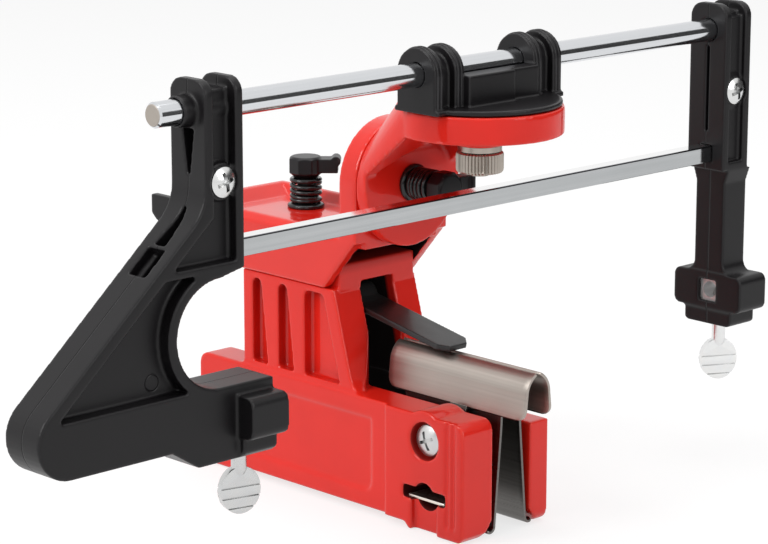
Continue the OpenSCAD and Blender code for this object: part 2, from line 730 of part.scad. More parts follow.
module saddle_bolt() {
  color(zinc) translate([saddle_bolt_x, 0, tunnel_z - face_c - slide_nut_h])
    cylinder(r = bolt_r, h = saddle_head_z + lever_h - 2.4 - (tunnel_z - face_c - slide_nut_h));
}
module saddle_slide_nut() {
  color(zinc) difference() {
    translate([saddle_bolt_x - slide_nut_s / 2, -slide_nut_s / 2, tunnel_z - face_c - slide_nut_h])
      cube([slide_nut_s, slide_nut_s, slide_nut_h]);
    translate([saddle_bolt_x, 0, tunnel_z - slide_nut_h - past])
      cylinder(r = bolt_r + seat_c, h = slide_nut_h + 2 * past);
  }
}
module saddle_washer() {
  color(black) translate([saddle_bolt_x, 0, saddle_z]) washer(washer_h);
}
module saddle_spring() {
  translate([saddle_bolt_x, 0, saddle_z + washer_h]) coil_spring();
}
module saddle_lever() {
  translate([saddle_bolt_x, 0, saddle_head_z]) rotate(lever_turn) lever_shape();
}

// Tilt arm: disc on the saddle's ear, swept up and forward into the round angle plate
sweep_c = 0.3;        // how far the swept neck stays inside the disc and the plate
module arm_sweep() {
  difference() {
    hull() {
      along_x(tilt_r - sweep_c, disc_back + sweep_c, disc_front - sweep_c, 0, tilt_z, $fn = 48);
      translate([0, 0, plate_low + sweep_c])
        cylinder(r = plate_r - sweep_c, h = plate_h - 2 * sweep_c, $fn = 48);
    }
    // room under the neck
    plate_xz([[disc_front, tilt_z - tilt_r], [disc_front, slope_z], [gusset_front, plate_low + 2 * sweep_c],
      [plate_r, plate_low + 2 * sweep_c], [plate_r, tilt_z - tilt_r]], -plate_r, plate_r);
    along_x(hollow_r, disc_front, plate_r, 0, tilt_z);
  }
}
module tilt_arm_casting() {
  color(red) difference() {
    union() {
      arm_sweep();
      along_x(tilt_r, disc_back, disc_front, 0, tilt_z);
      translate([0, 0, plate_low]) cylinder(r = plate_r, h = plate_h);
      translate([0, 0, plate_low - plate_boss_h]) cylinder(r = plate_boss_r, h = plate_boss_h + eps);
    }
    along_x(bolt_r + seat_c, disc_back - past, disc_front + past, 0, tilt_z);
    translate([0, 0, plate_low - plate_boss_h - past])
      cylinder(r = stud_r + run_c, h = plate_h + plate_boss_h + 2 * past);
  }
}
bolt_head_h = 5;
module tilt_bolt() {
  color(zinc) {
    along_x(bolt_r, ear_back - face_c - eps, tilt_head_x + lever_h - 2.4, 0, tilt_z);
    translate([ear_back - face_c - bolt_head_h, 0, tilt_z]) rotate([0, 90, 0])
      cylinder(r = bolt_r * 2, h = bolt_head_h, $fn = 6);
  }
}
module tilt_washer() {
  color(black) translate([disc_front, 0, tilt_z]) rotate([0, 90, 0]) washer(washer_h);
}
module tilt_spring() {
  translate([disc_front + washer_h, 0, tilt_z]) rotate([0, 90, 0]) coil_spring();
}
module tilt_lever() {
  translate([tilt_head_x, 0, tilt_z]) rotate([0, 90, 0]) rotate(90) lever_shape();
}

// Swivel: stud in the holder, washer and knurled nut below the plate
module angle_washer() {
  color(zinc) difference() {
    translate([0, 0, angle_washer_z]) cylinder(r = nut_r - 0.6, h = angle_washer_h);
    translate([0, 0, angle_washer_z - past]) cylinder(r = stud_r + run_c, h = angle_washer_h + 2 * past);
  }
}
knurl_r = 0.45;
module angle_nut() {
  color(steel) difference() {
    translate([0, 0, nut_z]) {
      translate([0, 0, 0.6]) cylinder(r = nut_r, h = nut_h - 1.2);
      cylinder(r1 = nut_r - 0.6, r2 = nut_r, h = 0.6);
      translate([0, 0, nut_h - 0.6]) cylinder(r1 = nut_r, r2 = nut_r - 0.6, h = 0.6);
    }
    for (i = [0 : nut_grooves - 1])
      rotate(360 * i / nut_grooves) translate([nut_r, 0, nut_z - past])
        cylinder(r = knurl_r, h = nut_h + 2 * past);
    translate([0, 0, nut_z - past]) cylinder(r = stud_r + run_c, h = nut_h + 2 * past);
  }
}
stud_seat = 4;
module swivel_stud() {
  color(zinc) translate([0, 0, stud_low]) cylinder(r = stud_r, h = holder_low + stud_seat - stud_low);
}

// Holder: base on the plate and two pairs of round ears that guide the rod
module holder_groove(y0) {
  difference() {
    box([-ear_r - past, y0, holder_low + holder_base_h],
        [ear_r + past, y0 + ear_groove_w, rod_high + ear_r + past]);
    along_y(ear_core_r, y0 - past, y0 + ear_groove_w + past, 0, rod_high);
    box([-ear_core_r, y0 - past, holder_low], [ear_core_r, y0 + ear_groove_w + past, rod_high]);
  }
}
trough_c = 0.8;
wall_out = ear_r + 1.6;    // faces of the walls between the ear pairs
panel_out = wall_out + 1.6; // faces of the walls' raised part
panel_end = holder_half - ear_pair_l - 12;
module guide_holder_body() {
  side = ear_r + 1.2;
  color(black) difference() {
    union() {
      translate([0, 0, holder_low]) cylinder(r = holder_base_r, h = holder_base_h);
      box([-side, -holder_half, holder_low], [side, holder_half, holder_low + holder_base_h]);
      box([-ear_r, -holder_half, holder_low], [ear_r, holder_half, holder_top]);
      box([-wall_out, -holder_half + ear_pair_l - past, holder_low],
          [wall_out, holder_half - ear_pair_l + past, holder_top]);
      box([-panel_out, -holder_half + ear_pair_l - past, holder_low], [panel_out, panel_end, holder_top]);
      for (y = [-holder_half, holder_half - ear_pair_l])
        along_y(ear_r, y, y + ear_pair_l, 0, rod_high);
    }
    for (y = [-holder_half, holder_half - ear_pair_l])
      holder_groove(y + (ear_pair_l - ear_groove_w) / 2);
    // trough for the rod between the pairs
    box([-rod_r - trough_c, -holder_half + ear_pair_l, rod_high - rod_r - trough_c],
        [rod_r + trough_c, holder_half - ear_pair_l, rod_high + ear_r]);
    along_y(rod_r + run_c, -holder_half - past, holder_half + past, 0, rod_high);
    translate([0, 0, holder_low - past]) cylinder(r = stud_r + seat_c, h = stud_seat + past);
  }
}

// Guide rod and square tie bar
rod_from = left_out - rod_tail;
rod_to = right_in + rod_seat;
module guide_rod() {
  color(chrome) translate([0, rod_from, rod_high]) rotate([-90, 0, 0]) {
    cylinder(r1 = rod_r - rod_chamfer, r2 = rod_r, h = rod_chamfer);
    translate([0, 0, rod_chamfer]) cylinder(r = rod_r, h = rod_to - rod_from - 2 * rod_chamfer);
    translate([0, 0, rod_to - rod_from - rod_chamfer])
      cylinder(r1 = rod_r, r2 = rod_r - rod_chamfer, h = rod_chamfer);
  }
}
module bar_block(c, extra) {
  box([-bar_s / 2 - c, left_in - bar_seat - extra, bar_z - bar_s / 2 - c],
      [bar_s / 2 + c, right_in + bar_seat + extra, bar_z + bar_s / 2 + c]);
}
module tie_bar() {
  color(chrome) bar_block(0, 0);
}

// Left handle: post, spine, web and arm, in two halves parted at X = 0
bend_r = 15;
nose_c = [left_out - nose_reach + nose_r, handle_low + nose_r];
nose_way = nose_c - [left_out, bend_z];
spine_a = 360 + atan2(nose_way[1], nose_way[0]) - asin(nose_r / norm(nose_way));
spine_slope = tan(spine_a);
bend_set = bend_r * tan((270 - spine_a) / 2);
handle_outline = concat(
  [[left_in, heel_z], [left_in, posts_z - lobe_r], [left_out, posts_z - lobe_r]],
  arc([left_out - bend_r, bend_z + bend_set], bend_r, 0, spine_a - 270, 8),
  arc(nose_c, nose_r, spine_a - 90, 270, 14),
  [[arm_back - arm_step, handle_low], [arm_back, arm_low], [left_head_y, arm_low], [left_head_y, arm_high]],
  arc([finger_y, finger_z], finger_r, 270, 90, 24));
// Inner edge of the spine's rim at height z
function rim_y(z) = left_out + (z - bend_z) / spine_slope + spine_rim / abs(sin(spine_a));
module post_lobe(y0, w) {
  // rounded top of one flange, on the front side of the parting plane
  plate_xz(concat([[0, posts_z - lobe_r - past], [half_t, posts_z - lobe_r - past]],
    arc([half_t - lobe_r, posts_z - lobe_r], lobe_r, 0, 90), [[0, posts_z]]), y0, y0 + w);
}
module post_top_parts(y0, y1) {
  // two flanges, the lower web between them and the sleeve round the rod
  post_lobe(y0, rim_w);
  post_lobe(y1 - rim_w, rim_w);
  box([0, y0 + eps, posts_z - lobe_r - past], [half_t - recess_d, y1 - eps, ledge_z]);
  intersection() {
    along_y(boss_r, y0 + eps, y1 - eps, 0, rod_high);
    box([0, y0, rod_high - boss_r], [half_t, y1, ledge_z]);
  }
}
head_r = 2.6;
foot_r = 2;
foot_set = 0.6;
module head_block(y0) {
  plate_xz(concat([[0, head_low]], arc([head_t - head_r, head_low + head_r], head_r, 270, 360, 6),
    arc([head_t - head_r, head_low + head_h - head_r], head_r, 0, 90, 6), [[0, head_low + head_h]]),
    y0, y0 + head_l);
  plate_xz(concat([[0, foot_low]], arc([foot_t - foot_r, foot_low + foot_r], foot_r, 270, 360, 6),
    [[foot_t, head_low + eps], [0, head_low + eps]]), y0 + foot_set, y0 + head_l - foot_set);
}
head_wall = 2;        // wall of a head at each end of its ferrule
file_way = file_r + 0.6;
thumb_room = 0.5;
window_lip = 1;       // how far a head's end walls overlap its ferrule
window_half = ferrule_s / 2 - window_lip;
module clamp_cuts(y0, mid) {
  // seat of the ferrule, square way for the file, round way for the thumb screw
  box([-ferrule_s / 2 - seat_c, y0 + head_wall, file_z - ferrule_s / 2 - seat_c],
      [ferrule_s / 2 + seat_c, y0 + head_l - head_wall, file_z + ferrule_s / 2 + seat_c]);
  box([-window_half, y0 - past, file_z - window_half],
      [window_half, y0 + head_l + past, file_z + window_half]);
  translate([0, mid, foot_low - past]) cylinder(r = thumb_r + thumb_room, h = file_z - foot_low);
}
module frame_screw_cuts(y) {
  along_x(shank_r + seat_c, -half_t - past, half_t + past, y, screw_z);
  along_x(frame_head_r + head_room, half_t - screw_set, half_t + past, y, screw_z);
}
post_recess_low = heel_z + 2.6;
post_recess = [[left_in - rim_w, post_recess_low], [left_in - rim_w, posts_z + past],
  [left_out + rim_w, posts_z + past],
  [left_out + rim_w, bend_z + (left_out + rim_w - rim_y(bend_z)) * spine_slope],
  [rim_y(post_recess_low), post_recess_low]];
arc_rim = 3.6;
web_r = finger_r + arc_rim;
web_low = handle_low + band_h;
web_top = heel_z;
web_recess = concat([[rim_y(web_low), web_low]],
  arc([finger_y, finger_z], web_r, 180 + asin((finger_z - web_low) / web_r),
    180 - asin((web_top - finger_z) / web_r), 12),
  [[rim_y(web_top), web_top]]);
ledge_z = posts_z - 3.6;
screw_seat_r = frame_head_r + 1.2;
module left_half() {
  difference() {
    union() {
      difference() {
        plate_yz(handle_outline, 0, half_t);
        plate_yz(post_recess, half_t - recess_d, half_t + past);
        plate_yz(web_recess, half_t - web_recess_d, half_t + past);
      }
      post_top_parts(left_out, left_in);
      intersection() {
        along_y(boss_r, left_out - boss_l, left_out + past, 0, rod_high);
        box([0, left_out - boss_l, rod_high - boss_r], [boss_r, left_out + past, rod_high + boss_r]);
      }
      head_block(left_head_y - head_l);
      along_x(screw_seat_r, half_t - recess_d - past, half_t - screw_set, left_screw_y, screw_z);
    }
    clamp_cuts(left_head_y - head_l, left_clamp_y);
    box([-file_way, arm_back, file_z - file_way], [file_way, left_head_y - head_l, file_z + file_way]);
    frame_screw_cuts(left_screw_y);
    along_y(rod_r + run_c, left_out - boss_l - past, left_in + past, 0, rod_high);
    bar_block(seat_c, seat_c);
    // slit along the parting plane, down the post and the spine
    plate_xz([[-past, slit_low], [slit_tip, slit_low], [slit_w / 2, slit_high], [-past, slit_high]],
      left_out - past, left_out + slit_d);
    translate([0, left_out, bend_z]) rotate([spine_a - 270, 0, 0]) {
      plate_xz([[-past, -spine_slit_l], [slit_w / 2, -spine_slit_l], [slit_tip, 0], [-past, 0]],
        -past, slit_d);
      box([-past, -past, -slot_to], [slot_t, slot_d, -slot_from]);
      box([-past, -past, -slot_to], [slot_mouth, spine_rim - slot_wall, -slot_from]);
    }
  }
}
slit_high = rod_high - boss_r - 0.6;
slit_low = slit_high - 14;
slit_tip = 0.5;       // half width of a slit at its narrow end
spine_slit_l = 15.5;  // slit below the bend, then a rectangular slot
slot_from = 17;
slot_to = 27.5;
slot_mouth = 4;       // half width of the slot's shallow mouth
slot_d = 8;
slot_wall = 0.7;      // what the slot leaves of the handle's web and rim
slot_t = half_t - web_recess_d - slot_wall;
rest_out = 10.4;      // thumb rest on the rear half, flared to its top
rest_foot = 4;
rest_low = bend_z - 10;
rest_edge = bend_z - 5;
rest_high = bend_z + 1;
module left_handle_front() {
  color(black) left_half();
}
module left_handle_rear() {
  color(black) {
    mirror([1, 0, 0]) left_half();
    plate_xz([[-half_t + eps, rest_low], [-half_t + eps, rest_high], [-half_t - rest_out, rest_high],
      [-half_t - rest_out, rest_edge], [-half_t - rest_foot, rest_low]], left_out + 0.5, left_out + rim_w);
  }
}

// Right post, in two halves parted at X = 0
right_recess_d = 2;
column_half = 6.6;
column_top = bar_z - 6;
column_set = right_head_set + 0.5;
column_flare = 4;
head_top = head_low + head_h;
column_profile = concat(
  [[0, file_z], [column_half + column_flare, file_z]],
  arc([column_half + column_flare, head_top + column_flare], column_flare, 270, 180, 6),
  [[column_half, column_top - 5], [half_t, column_top + eps], [0, column_top + eps]]);
module right_half() {
  difference() {
    union() {
      difference() {
        box([0, right_in, column_top], [half_t, right_out, posts_z - lobe_r]);
        box([half_t - right_recess_d, right_in + rim_w, column_top + 3],
            [half_t + past, right_out - rim_w, posts_z + past]);
      }
      post_top_parts(right_in, right_out);
      plate_xz(column_profile, right_in + column_set, right_out + 1.6);
      head_block(right_head_y);
      along_x(screw_seat_r, half_t - recess_d - past, half_t - screw_set, right_screw_y, screw_z);
    }
    clamp_cuts(right_head_y, right_clamp_y);
    frame_screw_cuts(right_screw_y);
    along_y(rod_r + run_c, right_in - past, rod_to + face_c, 0, rod_high);
    bar_block(seat_c, seat_c);
    box([-past, right_in - past, bar_z + 8], [slit_tip, right_in + 2, slit_high]);
  }
}
module right_post_front() {
  color(black) right_half();
}
module right_post_rear() {
  color(black) mirror([1, 0, 0]) right_half();
}

// Frame screws and their square nuts, one pair for each post
frame_nut_s = 7;
frame_nut_h = 3;
frame_head_h = 2.4;
module frame_screw(y) {
  head_x = half_t - screw_set;
  color(zinc) difference() {
    union() {
      along_x(shank_r, -half_t + screw_set - frame_nut_h - 0.6, head_x + eps, y, screw_z);
      along_x(frame_head_r, head_x, head_x + frame_head_h / 2, y, screw_z);
      translate([head_x + frame_head_h / 2, y, screw_z]) rotate([0, 90, 0])
        cylinder(r1 = frame_head_r, r2 = frame_head_r - 1.8, h = frame_head_h / 2);
    }
    translate([head_x + frame_head_h, y, screw_z]) rotate([0, 0, 90]) cross_slot(frame_head_r * 1.1, 1, 1.5);
  }
}
module frame_screws() {
  frame_screw(left_screw_y);
  frame_screw(right_screw_y);
}
module frame_nut(y) {
  x = -half_t + screw_set - frame_nut_h;
  color(zinc) difference() {
    box([x, y - frame_nut_s / 2, screw_z - frame_nut_s / 2],
        [x + frame_nut_h, y + frame_nut_s / 2, screw_z + frame_nut_s / 2]);
    along_x(shank_r + seat_c, x - past, x + frame_nut_h + past, y, screw_z);
  }
}
module frame_nuts() {
  frame_nut(left_screw_y);
  frame_nut(right_screw_y);
}

// File ferrules: steel blocks with the file's socket and the thumb screw's thread
module ferrule(y0, mid) {
  color(steel) difference() {
    box([-ferrule_s / 2, y0 + head_wall + seat_c, file_z - ferrule_s / 2],
        [ferrule_s / 2, y0 + head_l - head_wall - seat_c, file_z + ferrule_s / 2]);
    along_y(file_r, y0, y0 + head_l, 0, file_z);
    translate([0, mid, file_z - ferrule_s]) cylinder(r = thumb_r + run_c, h = ferrule_s);
  }
}
module left_file_ferrule() {
  ferrule(left_head_y - head_l, left_clamp_y);
}
module right_file_ferrule() {
  ferrule(right_head_y, right_clamp_y);
}

// Thumb screws: thread up into the ferrule, flat oval wing below
left_wing_turn = 76;
right_wing_turn = 60;
wing_top = foot_low - thumb_neck;
neck_in = 1.2;        // the thread's end inside the wing, then a cone
neck_cone = 2;
wing_groove = 0.4;
wing_pitch = 3.4;
module thumb_screw(y, wing_turn) {
  color(zinc) translate([0, y, 0]) {
    translate([0, 0, wing_top - neck_in]) cylinder(r = thumb_r, h = thumb_tip - wing_top + neck_in);
    translate([0, 0, wing_top - neck_in - neck_cone]) cylinder(r1 = wing_t / 2, r2 = thumb_r, h = neck_cone);
    translate([0, 0, wing_z]) rotate(wing_turn) difference() {
      intersection() {
        plate_xz(arc([0, 0], 1, 0, 345, 23) * [[wing_w / 2, 0], [0, wing_h / 2]], -wing_t / 2, wing_t / 2);
        translate([0, 0, -wing_h]) cylinder(r = wing_w / 2 + 1, h = 2 * wing_h);
      }
      for (i = [-1 : 1], s = [-1, 1])
        box([-wing_w, s * wing_t / 2 - wing_groove, (i - 0.75) * wing_pitch],
            [wing_w, s * wing_t / 2 + wing_groove, (i - 0.6) * wing_pitch]);
    }
  }
}
module left_thumb_screw() {
  thumb_screw(left_clamp_y, left_wing_turn);
}
module right_thumb_screw() {
  thumb_screw(right_clamp_y, right_wing_turn);
}

base_casting();
near_bar_spring();
far_bar_spring();
near_chain_plate();
far_chain_plate();
jaw_screws();
pawl_pin();
pawl();
saddle_casting();
saddle_bolt();
saddle_slide_nut();
saddle_washer();
saddle_spring();
saddle_lever();
tilt_arm_casting();
tilt_bolt();
tilt_washer();
tilt_spring();
tilt_lever();
angle_washer();
angle_nut();
guide_holder_body();
swivel_stud();
guide_rod();
tie_bar();
left_handle_front();
left_handle_rear();
right_post_front();
right_post_rear();
frame_screws();
frame_nuts();
left_file_ferrule();
right_file_ferrule();
left_thumb_screw();
right_thumb_screw();
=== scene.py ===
import bpy
import bmesh
import json
import math
from mathutils import Euler, Matrix, Vector


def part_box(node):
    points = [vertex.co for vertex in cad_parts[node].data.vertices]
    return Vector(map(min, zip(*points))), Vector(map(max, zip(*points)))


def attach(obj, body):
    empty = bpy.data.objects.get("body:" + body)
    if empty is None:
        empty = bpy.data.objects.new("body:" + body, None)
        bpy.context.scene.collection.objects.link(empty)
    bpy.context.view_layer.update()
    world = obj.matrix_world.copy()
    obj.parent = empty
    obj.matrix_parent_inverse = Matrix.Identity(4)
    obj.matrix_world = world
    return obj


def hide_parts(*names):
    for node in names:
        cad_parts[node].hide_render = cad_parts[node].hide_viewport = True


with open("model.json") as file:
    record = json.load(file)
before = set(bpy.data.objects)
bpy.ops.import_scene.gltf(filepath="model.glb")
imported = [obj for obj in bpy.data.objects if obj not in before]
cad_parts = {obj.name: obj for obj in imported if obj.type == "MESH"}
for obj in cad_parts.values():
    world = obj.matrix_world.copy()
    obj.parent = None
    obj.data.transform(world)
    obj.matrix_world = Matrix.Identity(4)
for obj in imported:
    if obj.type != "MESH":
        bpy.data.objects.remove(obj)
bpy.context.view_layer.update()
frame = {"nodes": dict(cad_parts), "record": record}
mm = 0.001
bodyOf = {node: body for body, nodes in frame["record"]["behaviour"]["bodies"].items() for node in nodes}
print("frame loaded:", len(frame["nodes"]), "nodes")

# camera at the photograph's angle
cameraSet = {"place": (0.6494, -0.6662, 0.3033), "look": (-0.7033, 0.6738, -0.2266), "lens": 133.6,
    "sensor": 36}
cameraData = bpy.data.cameras.new("camera")
cameraData.lens = cameraSet["lens"]
cameraData.sensor_width = cameraSet["sensor"]
camera = bpy.data.objects.new("camera", cameraData)
camera.location = cameraSet["place"]
camera.rotation_euler = Vector(cameraSet["look"]).to_track_quat("-Z", "Y").to_euler()
scene = bpy.context.scene
scene.collection.objects.link(camera)
scene.camera = camera
scene.view_settings.view_transform = "Standard"


class Wire:  # a node's output that takes part in plain arithmetic
    def __init__(self, net, socket):
        self.net = net
        self.socket = socket

    def calc(self, operation, a, b):
        return self.net.add("ShaderNodeMath", {"operation": operation}, {0: a, 1: b})

    def __add__(self, other):
        return self.calc("ADD", self, other)

    def __radd__(self, other):
        return self.calc("ADD", other, self)

    def __sub__(self, other):
        return self.calc("SUBTRACT", self, other)

    def __rsub__(self, other):
        return self.calc("SUBTRACT", other, self)

    def __mul__(self, other):
        return self.calc("MULTIPLY", self, other)

    def __lt__(self, other):
        return self.calc("LESS_THAN", self, other)

    def __gt__(self, other):
        return self.calc("GREATER_THAN", self, other)


airSet = {"samples": 8, "full": 0.25, "none": 0.85}  # how hidden a place is before it counts as a hollow


class Net:  # a node tree that is filled by one method
    def __init__(self, tree):
        self.tree = tree

    def plug(self, socket, value):
        if isinstance(value, list):  # several links into one socket
            for one in value:
                self.plug(socket, one)
        elif isinstance(value, Wire):
            self.tree.links.new(value.socket, socket)
        else:
            socket.default_value = value

    def add(self, kind, sets=None, ins=None, out=0):
        node = self.tree.nodes.new(kind)
        for key, value in (sets or {}).items():
            if key == "stops":
                first, last = value
                node.color_ramp.elements[0].position = first[0]
                node.color_ramp.elements[0].color = (first[1],) * 3 + (1,)
                node.color_ramp.elements[1].position = last[0]
                node.color_ramp.elements[1].color = (last[1],) * 3 + (1,)
            else:
                setattr(node, key, value)
        for key, value in (ins or {}).items():
            self.plug(node.inputs[key], value)
        return Wire(self, node.outputs[out]) if node.outputs else node

    def blend(self, amount, a, b):  # two colours
        return self.add("ShaderNodeMix", {"data_type": "RGBA"}, {0: amount, 6: a, 7: b}, 2)

    def ramp(self, value, first, last):
        return self.add("ShaderNodeValToRGB", {"stops": (first, last)}, {0: value})

    def objectPoint(self):
        return self.add("ShaderNodeTexCoord", None, None, "Object")

    def stretched(self, scale):
        return self.add("ShaderNodeMapping", None, {"Vector": self.objectPoint(), "Scale": scale})

    def noise(self, scale, detail=2.0, point=None):
        place = point or self.objectPoint()
        return self.add("ShaderNodeTexNoise", None, {"Vector": place, "Scale": scale, "Detail": detail})

    def bump(self, height, strength, distance):
        return self.add("ShaderNodeBump", None, {"Height": height, "Strength": strength, "Distance": distance})

    def pointiness(self, first, last):
        point = self.add("ShaderNodeNewGeometry", None, None, "Pointiness")
        return self.ramp(point, first, last)

    def edges(self, low, high):  # 0 on flats, 1 on sharp outer edges
        return self.pointiness((low, 0.0), (high, 1.0))

    def creases(self, low, high):  # 1 in sharp inner corners, 0 on flats
        return self.pointiness((low, 1.0), (high, 0.0))

    def hollows(self, distance):  # 1 deep in the piece's own hollows
        sets = {"samples": airSet["samples"], "only_local": True}
        air = self.add("ShaderNodeAmbientOcclusion", sets, {"Distance": distance}, "AO")
        return self.ramp(air, (airSet["full"], 1.0), (airSet["none"], 0.0))

    def axes(self):  # the three object coordinates
        point = self.objectPoint()
        return [self.add("ShaderNodeSeparateXYZ", None, {0: point}, axis) for axis in "XYZ"]

    def clamped(self, value):
        return self.add("ShaderNodeMath", {"operation": "ADD", "use_clamp": True}, {0: value, 1: 0.0})


def newFinish(name, fixed):
    finish = bpy.data.materials.new(name)
    finish.use_nodes = True
    shader = finish.node_tree.nodes["Principled BSDF"]
    for key, value in fixed.items():
        shader.inputs[key].default_value = value
    return finish, Net(finish.node_tree), shader


def tinted(tone, tint):  # a grey with a slight cast
    return tuple(tone * part for part in tint) + (1,)


def redPaint(name, gloss, deepShade=None, hollow=None):
    # the hollow colour and the near-black colour after it are painted shade
    look = {"deep": (0.74, 0.016, 0.008, 1), "main": (0.87, 0.022, 0.012, 1), "edge": (0.94, 0.100, 0.060, 1),
        "hollow": (0.30, 0.006, 0.004, 1), "deepShade": (0.010, 0.007, 0.007, 1), "edgeFrom": 0.515, "edgeTo": 0.60,
        "edgeShare": 0.5, "reach": 9.0 * mm, "hollowShare": 0.75, "mottle": 55, "rough": 0.24, "spread": 0.16,
        "dull": 0.6, "peel": 620, "peelShare": 0.10, "peelDepth": 0.25 * mm}
    finish, net, shader = newFinish(name, {"Coat Roughness": 0.07, "Specular IOR Level": 0.12})
    shine = gloss
    mottle = net.noise(look["mottle"], 3)
    rough = look["rough"] + mottle * look["spread"]
    peel = net.noise(look["peel"], 2)
    colour = net.blend(mottle, look["deep"], look["main"])
    colour = net.blend(net.edges(look["edgeFrom"], look["edgeTo"]) * look["edgeShare"], colour, look["edge"])
    # painted shade: the paint darkens in the piece's own hollows
    colour = net.blend(net.hollows(look["reach"]) * look["hollowShare"], colour, look["hollow"])
    if deepShade:  # painted shade: the chain tunnel, the keyholes, the screws' seats and the rail top are darkened as if in deep shadow
        x, y, z = net.axes()
        tunnel, holes, seats, rail = deepShade["tunnel"], deepShade["holes"], deepShade["seats"], deepShade["rail"]
        dark = net.clamped((tunnel["mouth"] - x - z * tunnel["lean"]) * (1 / tunnel["fade"]))
        dark = dark * (y < tunnel["half"]) * (y > -tunnel["half"]) * (z < tunnel["top"])
        deep = (y > deepShade["faces"][0]) * (y < deepShade["faces"][1])
        side, up = x - holes["x"], z - holes["z"]
        hole = (side < holes["half"]) * (side > -holes["half"]) * (up < holes["high"]) * (up > -holes["low"])
        lobe = side * side + up * up < holes["radius"] ** 2
        rise = z - seats["z"]
        seat = side * side + rise * rise < seats["radius"] ** 2
        shade = net.clamped((z - rail["z"]) * (1 / rail["fade"])) * (x < rail["front"]) * rail["share"]
        inside = net.clamped((x - deepShade["rear"]["x"]) * (1 / deepShade["rear"]["fade"]))
        pocket = net.clamped(hole + lobe) * holes["share"] + seat * seats["share"]
        dark = net.clamped((dark + shade) * inside + deep * pocket)
        colour = net.blend(dark, colour, look["deepShade"])
        shine = shine - dark * shine
        rough = rough + dark * look["dull"]
    if hollow:  # shade under the saddle, behind its ear
        x, y, z = net.axes()
        shade = (x < hollow["front"]) * (y < hollow["half"]) * (y > -hollow["half"]) * (z < hollow["top"])
        colour = net.blend(shade, colour, look["deepShade"])
        shine = shine - shade * shine
    net.plug(shader.inputs["Coat Weight"], shine)
    net.plug(shader.inputs["Base Color"], colour)
    net.plug(shader.inputs["Roughness"], rough)
    net.plug(shader.inputs["Normal"], net.bump(peel, look["peelShare"], look["peelDepth"]))
    return finish


def blackMoulding(name, tone, rough, grain, seam=0, mark=None):
    finish, net, shader = newFinish(name, {"IOR": 1.47, "Specular IOR Level": 0.30})
    look = {"dark": (0.74, 0.66, 0.76), "pale": (1.30, 1.14, 1.32), "worn": (7.0, 6.8, 7.2), "cloud": 38,
        "spread": 0.14, "edgeFrom": 0.52, "edgeTo": 0.62, "edgeShare": 0.55, "grit": 0.014 * mm,
        "seamSlope": 0.9, "markSlope": 0.5}
    cloud = net.noise(look["cloud"], 4)
    grit = net.noise(grain, 2)
    colour = net.blend(cloud, tinted(tone, look["dark"]), tinted(tone, look["pale"]))
    # lighter edges: wear, and in part a painted highlight along the edges
    wear = net.edges(look["edgeFrom"], look["edgeTo"]) * look["edgeShare"]
    colour = net.blend(wear, colour, tinted(tone, look["worn"]))
    relief = grit * look["grit"]
    if seam:  # fine groove where the two moulded halves meet
        away = net.add("ShaderNodeMath", {"operation": "ABSOLUTE"}, {0: net.axes()[0]})
        dip = net.add("ShaderNodeMath", {"operation": "MINIMUM"}, {0: away, 1: seam})
        relief = relief + dip * look["seamSlope"]
    if mark:  # round print of the mould's ejector pin
        y, z = net.axes()[1:]
        aside, above = y - mark["y"], z - mark["z"]
        reach = net.add("ShaderNodeMath", {"operation": "SQRT"}, {0: aside * aside + above * above})
        off = net.add("ShaderNodeMath", {"operation": "ABSOLUTE"}, {0: reach - mark["radius"]})
        dip = net.add("ShaderNodeMath", {"operation": "MINIMUM"}, {0: off, 1: mark["width"]})
        relief = relief + dip * look["markSlope"]
    net.plug(shader.inputs["Base Color"], colour)
    net.plug(shader.inputs["Roughness"], rough + cloud * look["spread"])
    net.plug(shader.inputs["Normal"], net.bump(relief, 1.0, 1.0))
    return finish


brushSet = {"lineShare": 0.6, "cloudShare": 0.4, "shadeShare": 0.9, "hollowShare": 0.8, "depth": 0.06 * mm}


def brushedMetal(name, look):  # lines run along the axis whose scale is small
    finish, net, shader = newFinish(name, {"Metallic": 1.0})
    lines = net.noise(1.0, 3, net.stretched(look["lines"]))
    cloud = net.noise(look["cloud"], 3)
    mixed = lines * brushSet["lineShare"] + cloud * brushSet["cloudShare"]
    colour = net.blend(mixed, look["dark"], look["pale"])
    if "corner" in look:  # painted highlight on the top face and painted shade along the upper front edge
        x, z = net.axes()[::2]
        colour = net.blend(z > look["corner"][1], colour, look["top"])
        colour = net.blend((x > look["corner"][0]) * (z > look["corner"][1]), colour, look["line"])
    if "ends" in look:  # painted highlight on the tabs' ends, far out on both sides
        y = net.axes()[1]
        colour = net.blend((y > look["ends"]) + (y < -look["ends"]), colour, look["paintedHighlight"])
    if "shade" in look:  # painted shade behind the tunnel's mouth and below the eaves
        x, z = net.axes()[::2]
        deep = net.clamped((x < look["mouth"]) + (z < look["eaves"]))
        colour = net.blend(deep * brushSet["shadeShare"], colour, look["shade"])
    # painted shade in the piece's own hollows
    if "hollow" in look:
        colour = net.blend(net.hollows(look["reach"]) * brushSet["hollowShare"], colour, look["hollow"])
    net.plug(shader.inputs["Base Color"], colour)
    net.plug(shader.inputs["Roughness"], look["rough"] + lines * look["spread"])
    net.plug(shader.inputs["Normal"], net.bump(lines, look["bump"], brushSet["depth"]))
    return finish


